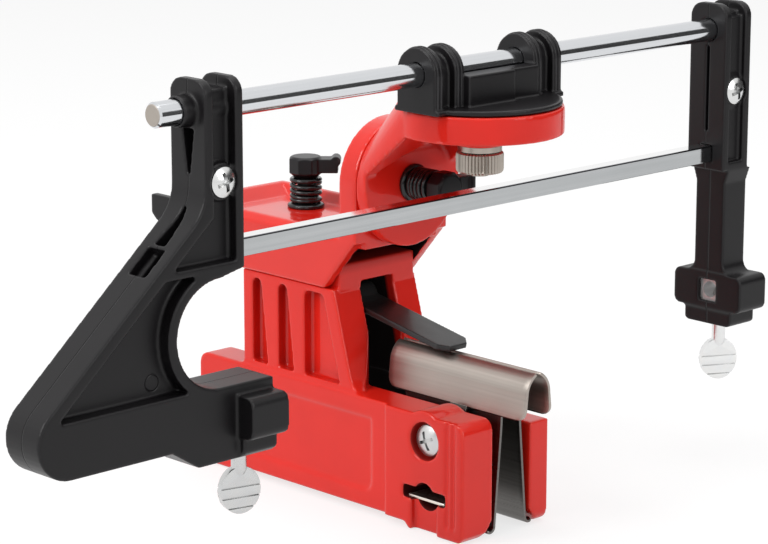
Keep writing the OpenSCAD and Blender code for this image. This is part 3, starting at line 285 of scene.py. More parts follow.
def chromeRod(ends):
    look = {"face": (0.70, 0.715, 0.735, 1), "tint": (0.46, 0.47, 0.49, 1), "tintShare": 0.35, "rough": 0.09,
        "spread": 0.08, "sawn": (0.40, 0.36, 0.32, 1), "sawnRough": 0.3, "sawnSpread": 0.2, "sawnDull": 0.35,
        "streaks": (1400, 12, 1400), "streakShare": 0.05, "grit": 1500, "bump": 0.15, "depth": 0.1 * mm}
    finish, net, shader = newFinish("chromeRod", {})
    streaks = net.noise(1.0, 2, net.stretched(look["streaks"]))
    along = net.axes()[1]
    sawn = (along < ends[0]) + (along > ends[1])
    grit = net.noise(look["grit"], 2)
    colour = net.blend(streaks * look["tintShare"], look["face"], look["tint"])
    net.plug(shader.inputs["Base Color"], net.blend(sawn, colour, look["sawn"]))
    coarse = look["sawnRough"] + grit * look["sawnSpread"]
    net.plug(shader.inputs["Roughness"], look["rough"] + streaks * look["spread"] + sawn * coarse)
    net.plug(shader.inputs["Metallic"], 1.0 - sawn * look["sawnDull"])
    relief = grit * sawn + streaks * look["streakShare"]
    net.plug(shader.inputs["Normal"], net.bump(relief, look["bump"], look["depth"]))
    return finish


def zincPlate(name, tone, rough, shadeTone, groove=0, metal=1.0):
    look = {"cool": (0.94, 0.96, 0.98), "warm": (1.06, 1.05, 1.02), "cloud": 260, "spread": 0.14, "grain": 2200,
        "creaseFrom": 0.40, "creaseTo": 0.48, "dirtShare": 0.85, "bump": 0.05, "depth": 0.1 * mm}
    finish, net, shader = newFinish(name, {"Metallic": metal})
    cloud = net.noise(look["cloud"], 3)
    colour = net.blend(cloud, tinted(tone, look["cool"]), tinted(tone, look["warm"]))
    # painted shade: grooves within the given reach darken by ambient occlusion, else the sharp inner creases
    dirt = net.hollows(groove) if groove else net.creases(look["creaseFrom"], look["creaseTo"])
    colour = net.blend(dirt * look["dirtShare"], colour, (shadeTone, shadeTone, shadeTone, 1))
    net.plug(shader.inputs["Base Color"], colour)
    net.plug(shader.inputs["Roughness"], rough + cloud * look["spread"])
    net.plug(shader.inputs["Normal"], net.bump(net.noise(look["grain"], 2), look["bump"], look["depth"]))
    return finish


def blackSteel(name, tone, rough, metal, slot=None):
    look = {"dark": (0.7, 0.75, 0.8), "pale": (1.3, 1.38, 1.42), "worn": (4, 4, 4), "coat": 0.12, "cloud": 120,
        "spread": 0.14, "edgeFrom": 0.53, "edgeTo": 0.64, "edgeShare": 0.5, "slot": (0.002, 0.002, 0.002, 1),
        "dull": 0.5, "metalSpread": 0.1, "grain": 900, "bump": 0.06, "depth": 0.1 * mm}
    finish, net, shader = newFinish(name, {"Coat Roughness": 0.1})
    coat = look["coat"]
    cloud = net.noise(look["cloud"], 3)
    colour = net.blend(cloud, tinted(tone, look["dark"]), tinted(tone, look["pale"]))
    wear = net.edges(look["edgeFrom"], look["edgeTo"]) * look["edgeShare"]
    colour = net.blend(wear, colour, tinted(tone, look["worn"]))
    if slot:  # in the shade of the slot
        deep = net.clamped((slot["mouth"] - net.axes()[0]) * (1 / slot["fade"]))
        colour = net.blend(deep, colour, look["slot"])
        coat = coat - deep * coat
        rough = rough + deep * look["dull"]
    net.plug(shader.inputs["Base Color"], colour)
    net.plug(shader.inputs["Coat Weight"], coat)
    net.plug(shader.inputs["Roughness"], rough + cloud * look["spread"])
    net.plug(shader.inputs["Metallic"], metal + cloud * look["metalSpread"])
    net.plug(shader.inputs["Normal"], net.bump(net.noise(look["grain"], 2), look["bump"], look["depth"]))
    return finish


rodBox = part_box("guide_rod")
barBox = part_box("tie_bar")
barEdge = 0.45 * mm
barLine = barEdge * 1.1
rodEdge = 0.2 * mm
deepShadeSet = {  # places on the base casting darkened with painted shade
    "tunnel": {"mouth": -35.0 * mm, "lean": 0.2326, "fade": 1.5 * mm, "half": 9.5 * mm, "top": 77.2 * mm},
    "holes": {"x": -2.5 * mm, "z": 12.5 * mm, "half": 10.6 * mm, "low": 2.2 * mm, "high": 5.3 * mm,
        "radius": 5.2 * mm, "share": 0.9},
    "seats": {"z": 32.0 * mm, "radius": 6.9 * mm, "share": 0.55},
    "rail": {"z": 80.0 * mm, "front": -48.0 * mm, "fade": 5.0 * mm, "share": 0.6},
    "rear": {"x": -116.0 * mm, "fade": 26.0 * mm},
    "faces": (-22.9 * mm, 17.2 * mm),
}
saddleHollow = {"front": -39.5 * mm, "half": 18.2 * mm, "top": 91.3 * mm}
markSet = {"y": -143.9 * mm, "z": 76.4 * mm, "radius": 2.6 * mm, "width": 0.35 * mm}
paint = redPaint("redPaint", gloss=0.4)
basePaint = redPaint("basePaint", gloss=0.5, deepShade=deepShadeSet)
saddlePaint = redPaint("saddlePaint", gloss=0.7, hollow=saddleHollow)
moulding = blackMoulding("blackMoulding", tone=0.0072, rough=0.27, grain=1500)
halvesBlack = blackMoulding("halvesBlack", tone=0.0064, rough=0.31, grain=1500, seam=0.32 * mm, mark=markSet)
leverBlack = blackMoulding("leverBlack", tone=0.008, rough=0.26, grain=2300)
rodChrome = chromeRod((rodBox[0][1] + rodEdge, rodBox[1][1] - rodEdge))
# the top colour is a painted highlight and the line colour painted shade along the upper front edge
barSteel = brushedMetal("barSteel", {"lines": (900, 9, 900), "cloud": 30, "dark": (0.34, 0.355, 0.36, 1),
    "pale": (0.54, 0.55, 0.56, 1), "rough": 0.07, "spread": 0.07, "bump": 0.06, "top": (0.86, 0.86, 0.86, 1),
    "corner": (barBox[1][0] - barLine, barBox[1][2] - barLine), "line": (0.10, 0.10, 0.11, 1)})
# the hollow and shade colours are painted shade
sheetSteel = brushedMetal("sheetSteel", {"lines": (10, 1100, 1100), "cloud": 60,
    "dark": (0.30, 0.265, 0.235, 1), "pale": (0.50, 0.45, 0.41, 1), "rough": 0.28, "spread": 0.18, "bump": 0.12,
    "hollow": (0.06, 0.055, 0.05, 1), "reach": 6.0 * mm, "mouth": -60.0 * mm, "eaves": 41.9 * mm,
    "shade": (0.03, 0.027, 0.025, 1)})
# the tabs' ends get a painted highlight, and the shade colour is painted shade inside the tunnel
gripSteel = brushedMetal("gripSteel", {"lines": (10, 1100, 1100), "cloud": 60, "dark": (0.10, 0.095, 0.09, 1),
    "pale": (0.24, 0.23, 0.22, 1), "rough": 0.22, "spread": 0.16, "bump": 0.12, "ends": 12 * mm,
    "paintedHighlight": (0.80, 0.75, 0.68, 1), "mouth": -34.0 * mm, "eaves": -1.0 * mm,
    "shade": (0.012, 0.011, 0.010, 1)})
# the hollow colour is painted shade
nutNickel = brushedMetal("nutNickel", {"lines": (500, 500, 60), "cloud": 200, "dark": (0.30, 0.265, 0.23, 1),
    "pale": (0.50, 0.45, 0.40, 1), "rough": 0.24, "spread": 0.18, "bump": 0.1,
    "hollow": (0.03, 0.027, 0.024, 1), "reach": 6.0 * mm})
zinc = zincPlate("zincPlate", tone=0.70, rough=0.16, shadeTone=0.08)
dullZinc = zincPlate("dullZinc", tone=0.62, rough=0.26, shadeTone=0.12)
thumbZinc = zincPlate("thumbZinc", tone=0.60, rough=0.20, shadeTone=0.04, groove=0.6 * mm)
brightZinc = zincPlate("brightZinc", tone=0.80, rough=0.24, shadeTone=0.30, groove=0.6 * mm)
socketZinc = zincPlate("socketZinc", tone=0.70, rough=0.30, shadeTone=0.04, metal=0.3)
pawlSlot = {"mouth": -49.0 * mm, "fade": 6.0 * mm}
pawlSteel = blackSteel("pawlSteel", tone=0.008, rough=0.34, metal=0.10, slot=pawlSlot)
boltSteel = blackSteel("boltSteel", tone=0.011, rough=0.30, metal=0.15)
springSteel = blackSteel("springSteel", tone=0.022, rough=0.10, metal=0.50)
print("finishes made")


def newPiece(name, mesh):
    piece = bpy.data.objects.new(name, mesh)
    scene.collection.objects.link(piece)
    return piece


def settle(piece):  # the evaluated mesh takes the place of the modifiers
    graph = bpy.context.evaluated_depsgraph_get()
    mesh = bpy.data.meshes.new_from_object(piece.evaluated_get(graph))
    piece.modifiers.clear()
    old = piece.data
    piece.data = mesh
    bpy.data.meshes.remove(old)
    return piece


def dress(piece, finish, *nodes):  # finish, body and slot, and the nodes that it stands for
    piece.data.materials.clear()
    piece.data.materials.append(finish)
    for face in piece.data.polygons:
        face.use_smooth = True
        face.material_index = 0
    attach(piece, bodyOf[nodes[0]])
    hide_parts(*nodes)
    return piece


touch = 0.001 * mm
softFactor = 0.5


def mergedCopy(name, nodes):  # two moulded halves become one, without their faces on the parting plane
    mesh = bpy.data.meshes.new(name)
    work = bmesh.new()
    for node in nodes:
        work.from_mesh(frame["nodes"][node].data)
    bmesh.ops.remove_doubles(work, verts=work.verts, dist=touch)
    if len(nodes) > 1:
        parting = [face for face in work.faces if all(abs(vert.co.x) < touch for vert in face.verts)]
        bmesh.ops.delete(work, geom=parting, context="FACES")
    work.to_mesh(mesh)
    work.free()
    return mesh


def softened(name, nodes, voxel, passes, keep):  # cast or moulded skin with rounded edges
    piece = newPiece(name, mergedCopy(name, nodes))
    skin = piece.modifiers.new("skin", "REMESH")
    skin.mode = "VOXEL"
    skin.voxel_size = voxel * mm
    soft = piece.modifiers.new("soft", "SMOOTH")
    soft.factor = softFactor
    soft.iterations = passes
    if keep < 1:
        thin = piece.modifiers.new("thin", "DECIMATE")
        thin.ratio = keep
    settle(piece)
    print(name, len(piece.data.polygons), "faces")
    return piece


# castings and mouldings: voxel in mm, rounds of smoothing, share of faces kept
skins = {
    "baseCasting": (["base_casting"], 0.55, 6, 0.3, basePaint),
    "saddleCasting": (["saddle_casting"], 0.6, 6, 0.4, saddlePaint),
    "tiltArmCasting": (["tilt_arm_casting"], 0.6, 7, 0.4, paint),
    "leftHandle": (["left_handle_front", "left_handle_rear"], 0.5, 4, 0.4, halvesBlack),
    "rightPost": (["right_post_front", "right_post_rear"], 0.45, 4, 0.5, halvesBlack),
    "saddleLever": (["saddle_lever"], 0.25, 5, 0.6, leverBlack),
    "tiltLever": (["tilt_lever"], 0.25, 5, 0.6, leverBlack),
    "pawlBlade": (["pawl"], 0.3, 3, 0.5, pawlSteel),
}
for name, (nodes, voxel, passes, keep, finish) in skins.items():
    dress(softened(name, nodes, voxel, passes, keep), finish, *nodes)


def moved(piece, place, turn=(0, 0, 0)):  # place and turn go into the mesh
    piece.data.transform(Matrix.Translation(place) @ Euler(turn).to_matrix().to_4x4())
    return piece


def creased(piece, degrees):  # sharp edges stay sharp under smooth shading
    work = bmesh.new()
    work.from_mesh(piece.data)
    for edge in work.edges:
        edge.smooth = edge.calc_face_angle(0) < math.radians(degrees)
    work.to_mesh(piece.data)
    work.free()
    return piece


def lathe(name, profile, steps):  # closed profile of radius and height, turned about Z
    mesh = bpy.data.meshes.new(name)
    work = bmesh.new()
    rings = []
    for radius, height in profile:
        angles = [2 * math.pi * i / steps for i in range(steps)]
        rings.append([work.verts.new((radius * math.cos(a), radius * math.sin(a), height)) for a in angles])
    for a, b in zip(rings, rings[1:] + rings[:1]):
        for i in range(steps):
            work.faces.new((a[i - 1], a[i], b[i], b[i - 1]))
    bmesh.ops.recalc_face_normals(work, faces=work.faces)
    work.to_mesh(mesh)
    work.free()
    return newPiece(name, mesh)


def softBox(name, low, high, radius):
    mesh = bpy.data.meshes.new(name)
    work = bmesh.new()
    bmesh.ops.create_cube(work, size=1)
    for vert in work.verts:
        vert.co = [low[k] + (vert.co[k] + 0.5) * (high[k] - low[k]) for k in range(3)]
    bmesh.ops.bevel(work, geom=work.edges[:], offset=radius, segments=3, affect="EDGES", profile=0.5)
    work.to_mesh(mesh)
    work.free()
    return newPiece(name, mesh)


def joined(name, pieces):
    work = bmesh.new()
    for piece in pieces:
        work.from_mesh(piece.data)
        bpy.data.objects.remove(piece)
    mesh = bpy.data.meshes.new(name)
    work.to_mesh(mesh)
    work.free()
    return newPiece(name, mesh)


def nodeTree(name, sizes):  # a Geometry Nodes tree with one named input for each size
    tree = bpy.data.node_groups.new(name, "GeometryNodeTree")
    kinds = {float: "NodeSocketFloat", int: "NodeSocketInt", tuple: "NodeSocketVector"}
    for key, value in sizes.items():
        tree.interface.new_socket(key, in_out="INPUT", socket_type=kinds[type(value)])
    tree.interface.new_socket("Shape", in_out="OUTPUT", socket_type="NodeSocketGeometry")
    net = Net(tree)
    entry = tree.nodes.new("NodeGroupInput")
    return net, {key: Wire(net, entry.outputs[key]) for key in sizes}


def closeTree(net, shape, finish):
    whole = net.add("GeometryNodeRealizeInstances", None, {"Geometry": shape})
    painted = net.add("GeometryNodeSetMaterial", None, {"Geometry": whole, "Material": finish})
    leave = net.tree.nodes.new("NodeGroupOutput")
    net.plug(leave.inputs[0], painted)
    return net.tree


def grown(name, tree, sizes):  # the tree's result as a plain mesh
    piece = newPiece(name, bpy.data.meshes.new(name))
    maker = piece.modifiers.new(name, "NODES")
    maker.node_group = tree
    for item in tree.interface.items_tree:
        if item.in_out == "INPUT":
            maker[item.identifier] = sizes[item.name]
    return settle(piece)


def middle(box):
    return (Vector(box[0]) + Vector(box[1])) / 2


creaseAt = {"bar": 10, "nut": 20, "thumb": 30, "screws": 35, "sheets": 40, "washers": 50}  # degrees

# thumb screws: the solid with its rims rounded over
thumbSet = {"rim": 0.15 * mm, "steps": 2, "angle": 40}
for name, node, finish in [("leftThumbScrew", "left_thumb_screw", thumbZinc),
        ("rightThumbScrew", "right_thumb_screw", brightZinc)]:
    thumb = newPiece(name, mergedCopy(name, [node]))
    rim = thumb.modifiers.new("rim", "BEVEL")
    rim.width = thumbSet["rim"]
    rim.segments = thumbSet["steps"]
    rim.limit_method = "ANGLE"
    rim.angle_limit = math.radians(thumbSet["angle"])
    creased(dress(settle(thumb), finish, node), creaseAt["thumb"])

# square tie bar with its small rounded edges
creased(dress(softBox("tieBar", barBox[0], barBox[1], barEdge), barSteel, "tie_bar"), creaseAt["bar"])

# coil springs of the clamp levers, with a closed ring at each end
springSet = {"Coil Radius": 5.0 * mm, "Wire Radius": 0.80 * mm, "Turns": 3.0, "Length": 8.7 * mm}
springSteps = {"turn": 40, "ring": 48, "wire": 12}


def springTree():
    net, given = nodeTree("coilSpring", springSet)
    coil, wire, length = given["Coil Radius"], given["Wire Radius"], given["Length"]
    lift = net.add("ShaderNodeCombineXYZ", None, {"Z": wire * 2})
    helix = net.add("GeometryNodeCurveSpiral", None, {"Resolution": springSteps["turn"],
        "Rotations": given["Turns"], "Start Radius": coil, "End Radius": coil, "Height": length - wire * 4})
    paths = [net.add("GeometryNodeTransform", None, {"Geometry": helix, "Translation": lift})]
    for height in (wire, length - wire):
        ring = net.add("GeometryNodeCurvePrimitiveCircle", None, {"Resolution": springSteps["ring"],
            "Radius": coil})
        lift = net.add("ShaderNodeCombineXYZ", None, {"Z": height})
        paths.append(net.add("GeometryNodeTransform", None, {"Geometry": ring, "Translation": lift}))
    path = net.add("GeometryNodeJoinGeometry", None, {"Geometry": paths})
    section = net.add("GeometryNodeCurvePrimitiveCircle", None, {"Resolution": springSteps["wire"],
        "Radius": wire})
    tube = net.add("GeometryNodeCurveToMesh", None, {"Curve": path, "Profile Curve": section,
        "Fill Caps": True})
    return closeTree(net, tube, springSteel)


coilTree = springTree()
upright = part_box("saddle_spring")
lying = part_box("tilt_spring")
saddleSpring = grown("saddleSpring", coilTree, springSet)
moved(saddleSpring, (middle(upright).x, middle(upright).y, upright[0][2]))
dress(saddleSpring, springSteel, "saddle_spring")
tiltSpring = grown("tiltSpring", coilTree, springSet)
moved(tiltSpring, (lying[0][0], middle(lying).y, middle(lying).z), (0, math.pi / 2, 0))
dress(tiltSpring, springSteel, "tilt_spring")

# domed washers under the springs
washerSet = {"bore": 3.05, "rim": 6.6, "height": 2.0, "foot": 0.3, "wall": 1.0, "shoulder": (0.25, 1.35),
    "slope": (0.8, 1.6), "crown": 2.2, "steps": 64}
bore, rim, height = washerSet["bore"], washerSet["rim"], washerSet["height"]
washerProfile = [(bore, 0), (rim - washerSet["foot"], 0), (rim, washerSet["foot"]), (rim, washerSet["wall"]),
    (rim - washerSet["shoulder"][0], washerSet["shoulder"][1]),
    (rim - washerSet["slope"][0], washerSet["slope"][1]), (rim - washerSet["crown"], height), (bore, height)]
washerTurns = {"saddleWasher": ("saddle_washer", (0, 0, 0)), "tiltWasher": ("tilt_washer", (0, math.pi / 2, 0))}
for name, (node, turn) in washerTurns.items():
    washer = lathe(name, [(r * mm, z * mm) for r, z in washerProfile], washerSet["steps"])
    seat = middle(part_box(node))
    axis = Euler(turn).to_matrix() @ Vector((0, 0, 1))
    moved(washer, seat - axis * height * mm / 2, turn)
    creased(dress(washer, springSteel, node), creaseAt["washers"])

# knurled nut that locks the filing angle
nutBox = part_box("angle_nut")
nutSet = {"Radius": (nutBox[1][0] - nutBox[0][0]) / 2, "Height": nutBox[1][2] - nutBox[0][2], "Grooves": 40,
    "Groove Depth": 0.5 * mm, "Rim": 0.07}
nutSteps = 13
rimFrom = 0.8  # share of the half height that has no taper


def nutTree():
    net, given = nodeTree("knurledNut", nutSet)
    star = net.add("GeometryNodeCurveStar", None, {"Points": given["Grooves"], "Outer Radius": given["Radius"],
        "Inner Radius": given["Radius"] - given["Groove Depth"], "Twist": 0.0})
    top = net.add("ShaderNodeCombineXYZ", None, {"Z": given["Height"]})
    line = net.add("GeometryNodeCurvePrimitiveLine", None, {"Start": (0, 0, 0), "End": top})
    line = net.add("GeometryNodeResampleCurve", None, {"Curve": line, "Count": nutSteps})
    along = net.add("GeometryNodeSplineParameter", None, None, "Factor")
    fromMiddle = net.add("ShaderNodeMath", {"operation": "ABSOLUTE"}, {0: along * 2 - 1})
    rim = net.add("ShaderNodeMath", {"operation": "MAXIMUM"}, {0: fromMiddle - rimFrom, 1: 0.0})
    side = net.add("GeometryNodeCurveToMesh", None, {"Curve": line, "Profile Curve": star,
        "Scale": 1 - rim * (1 / (1 - rimFrom)) * given["Rim"], "Fill Caps": True})
    return closeTree(net, side, nutNickel)


nut = moved(grown("knurledNut", nutTree(), nutSet), (middle(nutBox).x, middle(nutBox).y, nutBox[0][2]))
creased(dress(nut, nutNickel, "angle_nut"), creaseAt["nut"])


# cross-slot screws: domed head and shank, copied along a line
screwSteps = {"head": 48, "rings": 8, "shank": 32}


def screwTree(name, sizes, finish):
    net, given = nodeTree(name, sizes)
    radius, height = given["Head Radius"], given["Head Height"]
    lift = net.add("ShaderNodeCombineXYZ", None, {"Z": height * 0.5})
    head = net.add("GeometryNodeMeshCylinder", {"fill_type": "TRIANGLE_FAN"}, {"Vertices": screwSteps["head"],
        "Side Segments": 1, "Fill Segments": screwSteps["rings"], "Radius": radius, "Depth": height})
    head = net.add("GeometryNodeTransform", None, {"Geometry": head, "Translation": lift})
    point = net.add("GeometryNodeInputPosition")
    flat = net.add("ShaderNodeVectorMath", {"operation": "MULTIPLY"}, {0: point, 1: (1, 1, 0)})
    out = net.add("ShaderNodeVectorMath", {"operation": "LENGTH"}, {0: flat}, "Value")
    share = net.add("ShaderNodeMath", {"operation": "DIVIDE"}, {0: out, 1: radius})
    level = net.add("ShaderNodeSeparateXYZ", None, {0: point}, "Z")
    fall = share * share * given["Dome"] * (level > height * 0.5)
    drop = net.add("ShaderNodeCombineXYZ", None, {"Z": 0 - fall})
    head = net.add("GeometryNodeSetPosition", None, {"Geometry": head, "Offset": drop})
    rise = net.add("ShaderNodeCombineXYZ", None, {"Z": height})
    size = net.add("ShaderNodeCombineXYZ", None, {"X": given["Slot Length"], "Y": given["Slot Width"],
        "Z": given["Slot Depth"] * 2})
    arms = []
    for turn in (0.0, math.pi / 2):
        arm = net.add("GeometryNodeMeshCube", None, {"Size": size})
        spin = net.add("ShaderNodeCombineXYZ", None, {"Z": given["Spin"] + turn})
        arms.append(net.add("GeometryNodeTransform", None, {"Geometry": arm, "Translation": rise,
            "Rotation": spin}))
    head = net.add("GeometryNodeMeshBoolean", {"operation": "DIFFERENCE", "solver": "EXACT"},
        {"Mesh 1": head, "Mesh 2": arms})
    low = net.add("ShaderNodeCombineXYZ", None, {"Z": given["Shank Length"] * -0.5})
    shank = net.add("GeometryNodeMeshCylinder", None, {"Vertices": screwSteps["shank"],
        "Radius": given["Shank Radius"], "Depth": given["Shank Length"]})
    shank = net.add("GeometryNodeTransform", None, {"Geometry": shank, "Translation": low})
    screw = net.add("GeometryNodeJoinGeometry", None, {"Geometry": [head, shank]})
    places = net.add("GeometryNodeMeshLine", None, {"Count": 2, "Start Location": given["Start"],
        "Offset": given["Step"]})
    number = net.add("GeometryNodeInputIndex")
    lean = net.add("ShaderNodeVectorMath", {"operation": "MULTIPLY"}, {0: given["Turn Step"], 1: number})
    lean = net.add("ShaderNodeVectorMath", {"operation": "ADD"}, {0: given["Turn"], 1: lean})
    lean = net.add("FunctionNodeEulerToRotation", None, {0: lean})
    copies = net.add("GeometryNodeInstanceOnPoints", None, {"Points": places, "Instance": screw,
        "Rotation": lean})
    return closeTree(net, copies, finish)


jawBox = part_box("jaw_screws")
jawHead = (jawBox[1][0] - jawBox[0][0]) / 2
jawHeight = 3.0 * mm
jawFront = (middle(jawBox).x, jawBox[0][1] + jawHeight, middle(jawBox).z)
jawScrewSet = {"Head Radius": jawHead, "Head Height": jawHeight, "Dome": 1.3 * mm, "Slot Length": 6.6 * mm,
    "Slot Width": 1.1 * mm, "Slot Depth": 1.5 * mm, "Spin": math.pi / 8, "Shank Radius": 2.0 * mm,
    "Shank Length": 5.0 * mm, "Start": jawFront,
    "Step": (0.0, jawBox[1][1] - jawBox[0][1] - 2 * jawHeight, 0.0),
    "Turn": (math.pi / 2, 0.0, 0.0), "Turn Step": (-math.pi, 0.0, 0.0)}
jawScrews = grown("jawScrews", screwTree("jawScrews", jawScrewSet, dullZinc), jawScrewSet)
creased(dress(jawScrews, dullZinc, "jaw_screws"), creaseAt["screws"])

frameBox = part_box("frame_screws")
frameHead = (frameBox[1][2] - frameBox[0][2]) / 2
frameHeight = 2.4 * mm
frameScrewSet = {"Head Radius": frameHead, "Head Height": frameHeight, "Dome": 1.5 * mm,
    "Slot Length": 6.2 * mm, "Slot Width": 1.3 * mm, "Slot Depth": 1.7 * mm, "Spin": 0.3,
    "Shank Radius": 2.0 * mm, "Shank Length": frameBox[1][0] - frameBox[0][0] - frameHeight,
    "Start": (frameBox[1][0] - frameHeight, frameBox[0][1] + frameHead, middle(frameBox).z),
    "Step": (0.0, frameBox[1][1] - frameBox[0][1] - 2 * frameHead, 0.0),
    "Turn": (0.0, math.pi / 2, 0.0), "Turn Step": (0.0, 0.0, 0.0)}
frameScrews = grown("frameScrews", screwTree("frameScrews", frameScrewSet, zinc), frameScrewSet)
creased(dress(frameScrews, zinc, "frame_screws"), creaseAt["screws"])

# guide holder: softened body, and beads round the four ears
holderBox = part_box("guide_holder_body")
earSet = {"Ear Radius": 8.65 * mm, "Leg": 10.7 * mm, "Bead Radius": 0.5 * mm, "Bead Gap": 1.5 * mm,
    "Ear Gap": 9.3 * mm, "Pair Gap": 46.2 * mm, "First": holderBox[0][1] + 1.4 * mm, "Height": middle(rodBox).z}
beadSteps = {"arch": 40, "round": 10}


def beadTree():
    net, given = nodeTree("earBeads", earSet)
    radius = given["Ear Radius"]
    arch = net.add("GeometryNodeCurveArc", None, {"Resolution": beadSteps["arch"], "Radius": radius,
        "Start Angle": 0.0, "Sweep Angle": math.pi})
    runs = [arch]
    for side in (-1, 1):
        top = net.add("ShaderNodeCombineXYZ", None, {"X": radius * side})
        foot = net.add("ShaderNodeCombineXYZ", None, {"X": radius * side, "Y": 0 - given["Leg"]})
        runs.append(net.add("GeometryNodeCurvePrimitiveLine", None, {"Start": top, "End": foot}))
    path = net.add("GeometryNodeJoinGeometry", None, {"Geometry": runs})
    section = net.add("GeometryNodeCurvePrimitiveCircle", None, {"Resolution": beadSteps["round"],
        "Radius": given["Bead Radius"]})
    bead = net.add("GeometryNodeCurveToMesh", None, {"Curve": path, "Profile Curve": section,
        "Fill Caps": True})
    place = net.add("ShaderNodeCombineXYZ", None, {"Y": given["First"], "Z": given["Height"]})
    shape = net.add("GeometryNodeTransform", None, {"Geometry": bead, "Translation": place,
        "Rotation": (math.pi / 2, 0, 0)})
    for gap in ("Bead Gap", "Ear Gap", "Pair Gap"):
        step = net.add("ShaderNodeCombineXYZ", None, {"Y": given[gap]})
        line = net.add("GeometryNodeMeshLine", None, {"Count": 2, "Start Location": (0, 0, 0), "Offset": step})
        shape = net.add("GeometryNodeInstanceOnPoints", None, {"Points": line, "Instance": shape})
    return closeTree(net, shape, moulding)


holderBody = softened("guideHolderBody", ["guide_holder_body"], voxel=0.42, passes=4, keep=0.5)
holderBeads = grown("guideHolderBeads", beadTree(), earSet)
dress(joined("guideHolder", [holderBody, holderBeads]), moulding, "guide_holder_body")
print("springs, nut, screws and beads made")


bendSteps = 6
slack = 1e-9


def filleted(points, reach):  # round bends between straight runs
    line = [Vector(points[0])]
    for a, b, c in zip(points, points[1:], points[2:]):
        corner = Vector(b)
        first = corner + (Vector(a) - corner).normalized() * reach
        last = corner + (Vector(c) - corner).normalized() * reach
        for k in range(bendSteps + 1):
            t = k / bendSteps
            line.append(first * (1 - t) ** 2 + corner * 2 * t * (1 - t) + last * t * t)
    line.append(Vector(points[-1]))
    return line


def evenly(line, step):  # the same line with points at even distances
    total = sum((b - a).length for a, b in zip(line, line[1:]))
    count = max(2, round(total / step))
    marks = []
    done = 0.0
    for a, b in zip(line, line[1:]):
        run = (b - a).length
        while len(marks) <= count and len(marks) * total / count <= done + run + slack:
            marks.append(a.lerp(b, (len(marks) * total / count - done) / run))
        done += run
    return marks


sheetSet = {"step": 0.5, "columns": 26, "rim": 0.18, "rimSteps": 2, "rimAngle": 50}


def bentSheet(name, line, span, side, thick, corner):  # line of Y and Z to its lower edge, drawn along X
    rows = evenly(line, sheetSet["step"])
    columns = sheetSet["columns"]
    mesh = bpy.data.meshes.new(name)
    work = bmesh.new()
    grid = []
    for k, point in enumerate(rows):
        toEdge = min(corner, (len(rows) - 1 - k) * (rows[1] - rows[0]).length)
        inset = corner - math.sqrt(max(0, corner ** 2 - (corner - toEdge) ** 2))
        low, high = span[0] + inset, span[1] - inset
        xs = [low + (high - low) * i / columns for i in range(columns + 1)]
        grid.append([work.verts.new((x * mm, side * point.x * mm, point.y * mm)) for x in xs])
    for a, b in zip(grid, grid[1:]):
        for i in range(columns):
            work.faces.new((a[i], a[i + 1], b[i + 1], b[i]))
    work.to_mesh(mesh)
    work.free()
    piece = newPiece(name, mesh)
    wall = piece.modifiers.new("wall", "SOLIDIFY")
    wall.thickness = thick * mm
    wall.offset = 0
    rim = piece.modifiers.new("rim", "BEVEL")
    rim.width = sheetSet["rim"] * mm
    rim.segments = sheetSet["rimSteps"]
    rim.limit_method = "ANGLE"
    rim.angle_limit = math.radians(sheetSet["rimAngle"])
    return settle(piece)


# roof of two chain plates, each with the strap that its jaw screw holds
roofSet = {"ridge": 57.0, "ridgeHalf": 0.9, "bend": 8.0, "half": 5.3, "eaves": (6.3, 41.4), "foot": (5.8, 45.4),
    "thick": 1.0, "corner": 4.0, "steps": 12, "strapHalf": 4.0,
    "strapTop": (6.2, 41.9), "strapBend": (8.5, 37.4), "strapFoot": (8.5, 26.0), "strapFillet": 1.2,
    "strapCorner": 2.0}
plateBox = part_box("near_chain_plate")
plateSpan = (plateBox[0][0] / mm, plateBox[1][0] / mm)
screwX = middle(jawBox).x / mm
reachIn = roofSet["bend"] - roofSet["half"] + roofSet["ridgeHalf"]
bendZ = roofSet["ridge"] - math.sqrt(roofSet["bend"] ** 2 - reachIn ** 2)
firstAngle = math.acos(reachIn / roofSet["bend"])
roofLine = []
for k in range(roofSet["steps"] + 1):
    angle = firstAngle * (1 - k / roofSet["steps"])
    roofLine.append(Vector((roofSet["half"] - roofSet["bend"] + roofSet["bend"] * math.cos(angle),
        bendZ + roofSet["bend"] * math.sin(angle))))
roofLine += [Vector(roofSet["foot"]), Vector(roofSet["eaves"])]
strapLine = filleted([roofSet["strapTop"], roofSet["strapBend"], roofSet["strapFoot"]], roofSet["strapFillet"])
for node, side in [("near_chain_plate", -1), ("far_chain_plate", 1)]:
    name = "nearChainPlate" if side < 0 else "farChainPlate"
    roof = bentSheet(name + "Roof", roofLine, plateSpan, side, roofSet["thick"], roofSet["corner"])
    strapSpan = (screwX - roofSet["strapHalf"], screwX + roofSet["strapHalf"])
    strap = bentSheet(name + "Strap", strapLine, strapSpan, side, roofSet["thick"], roofSet["strapCorner"])
    creased(dress(joined(name, [roof, strap]), sheetSteel, node), creaseAt["sheets"])

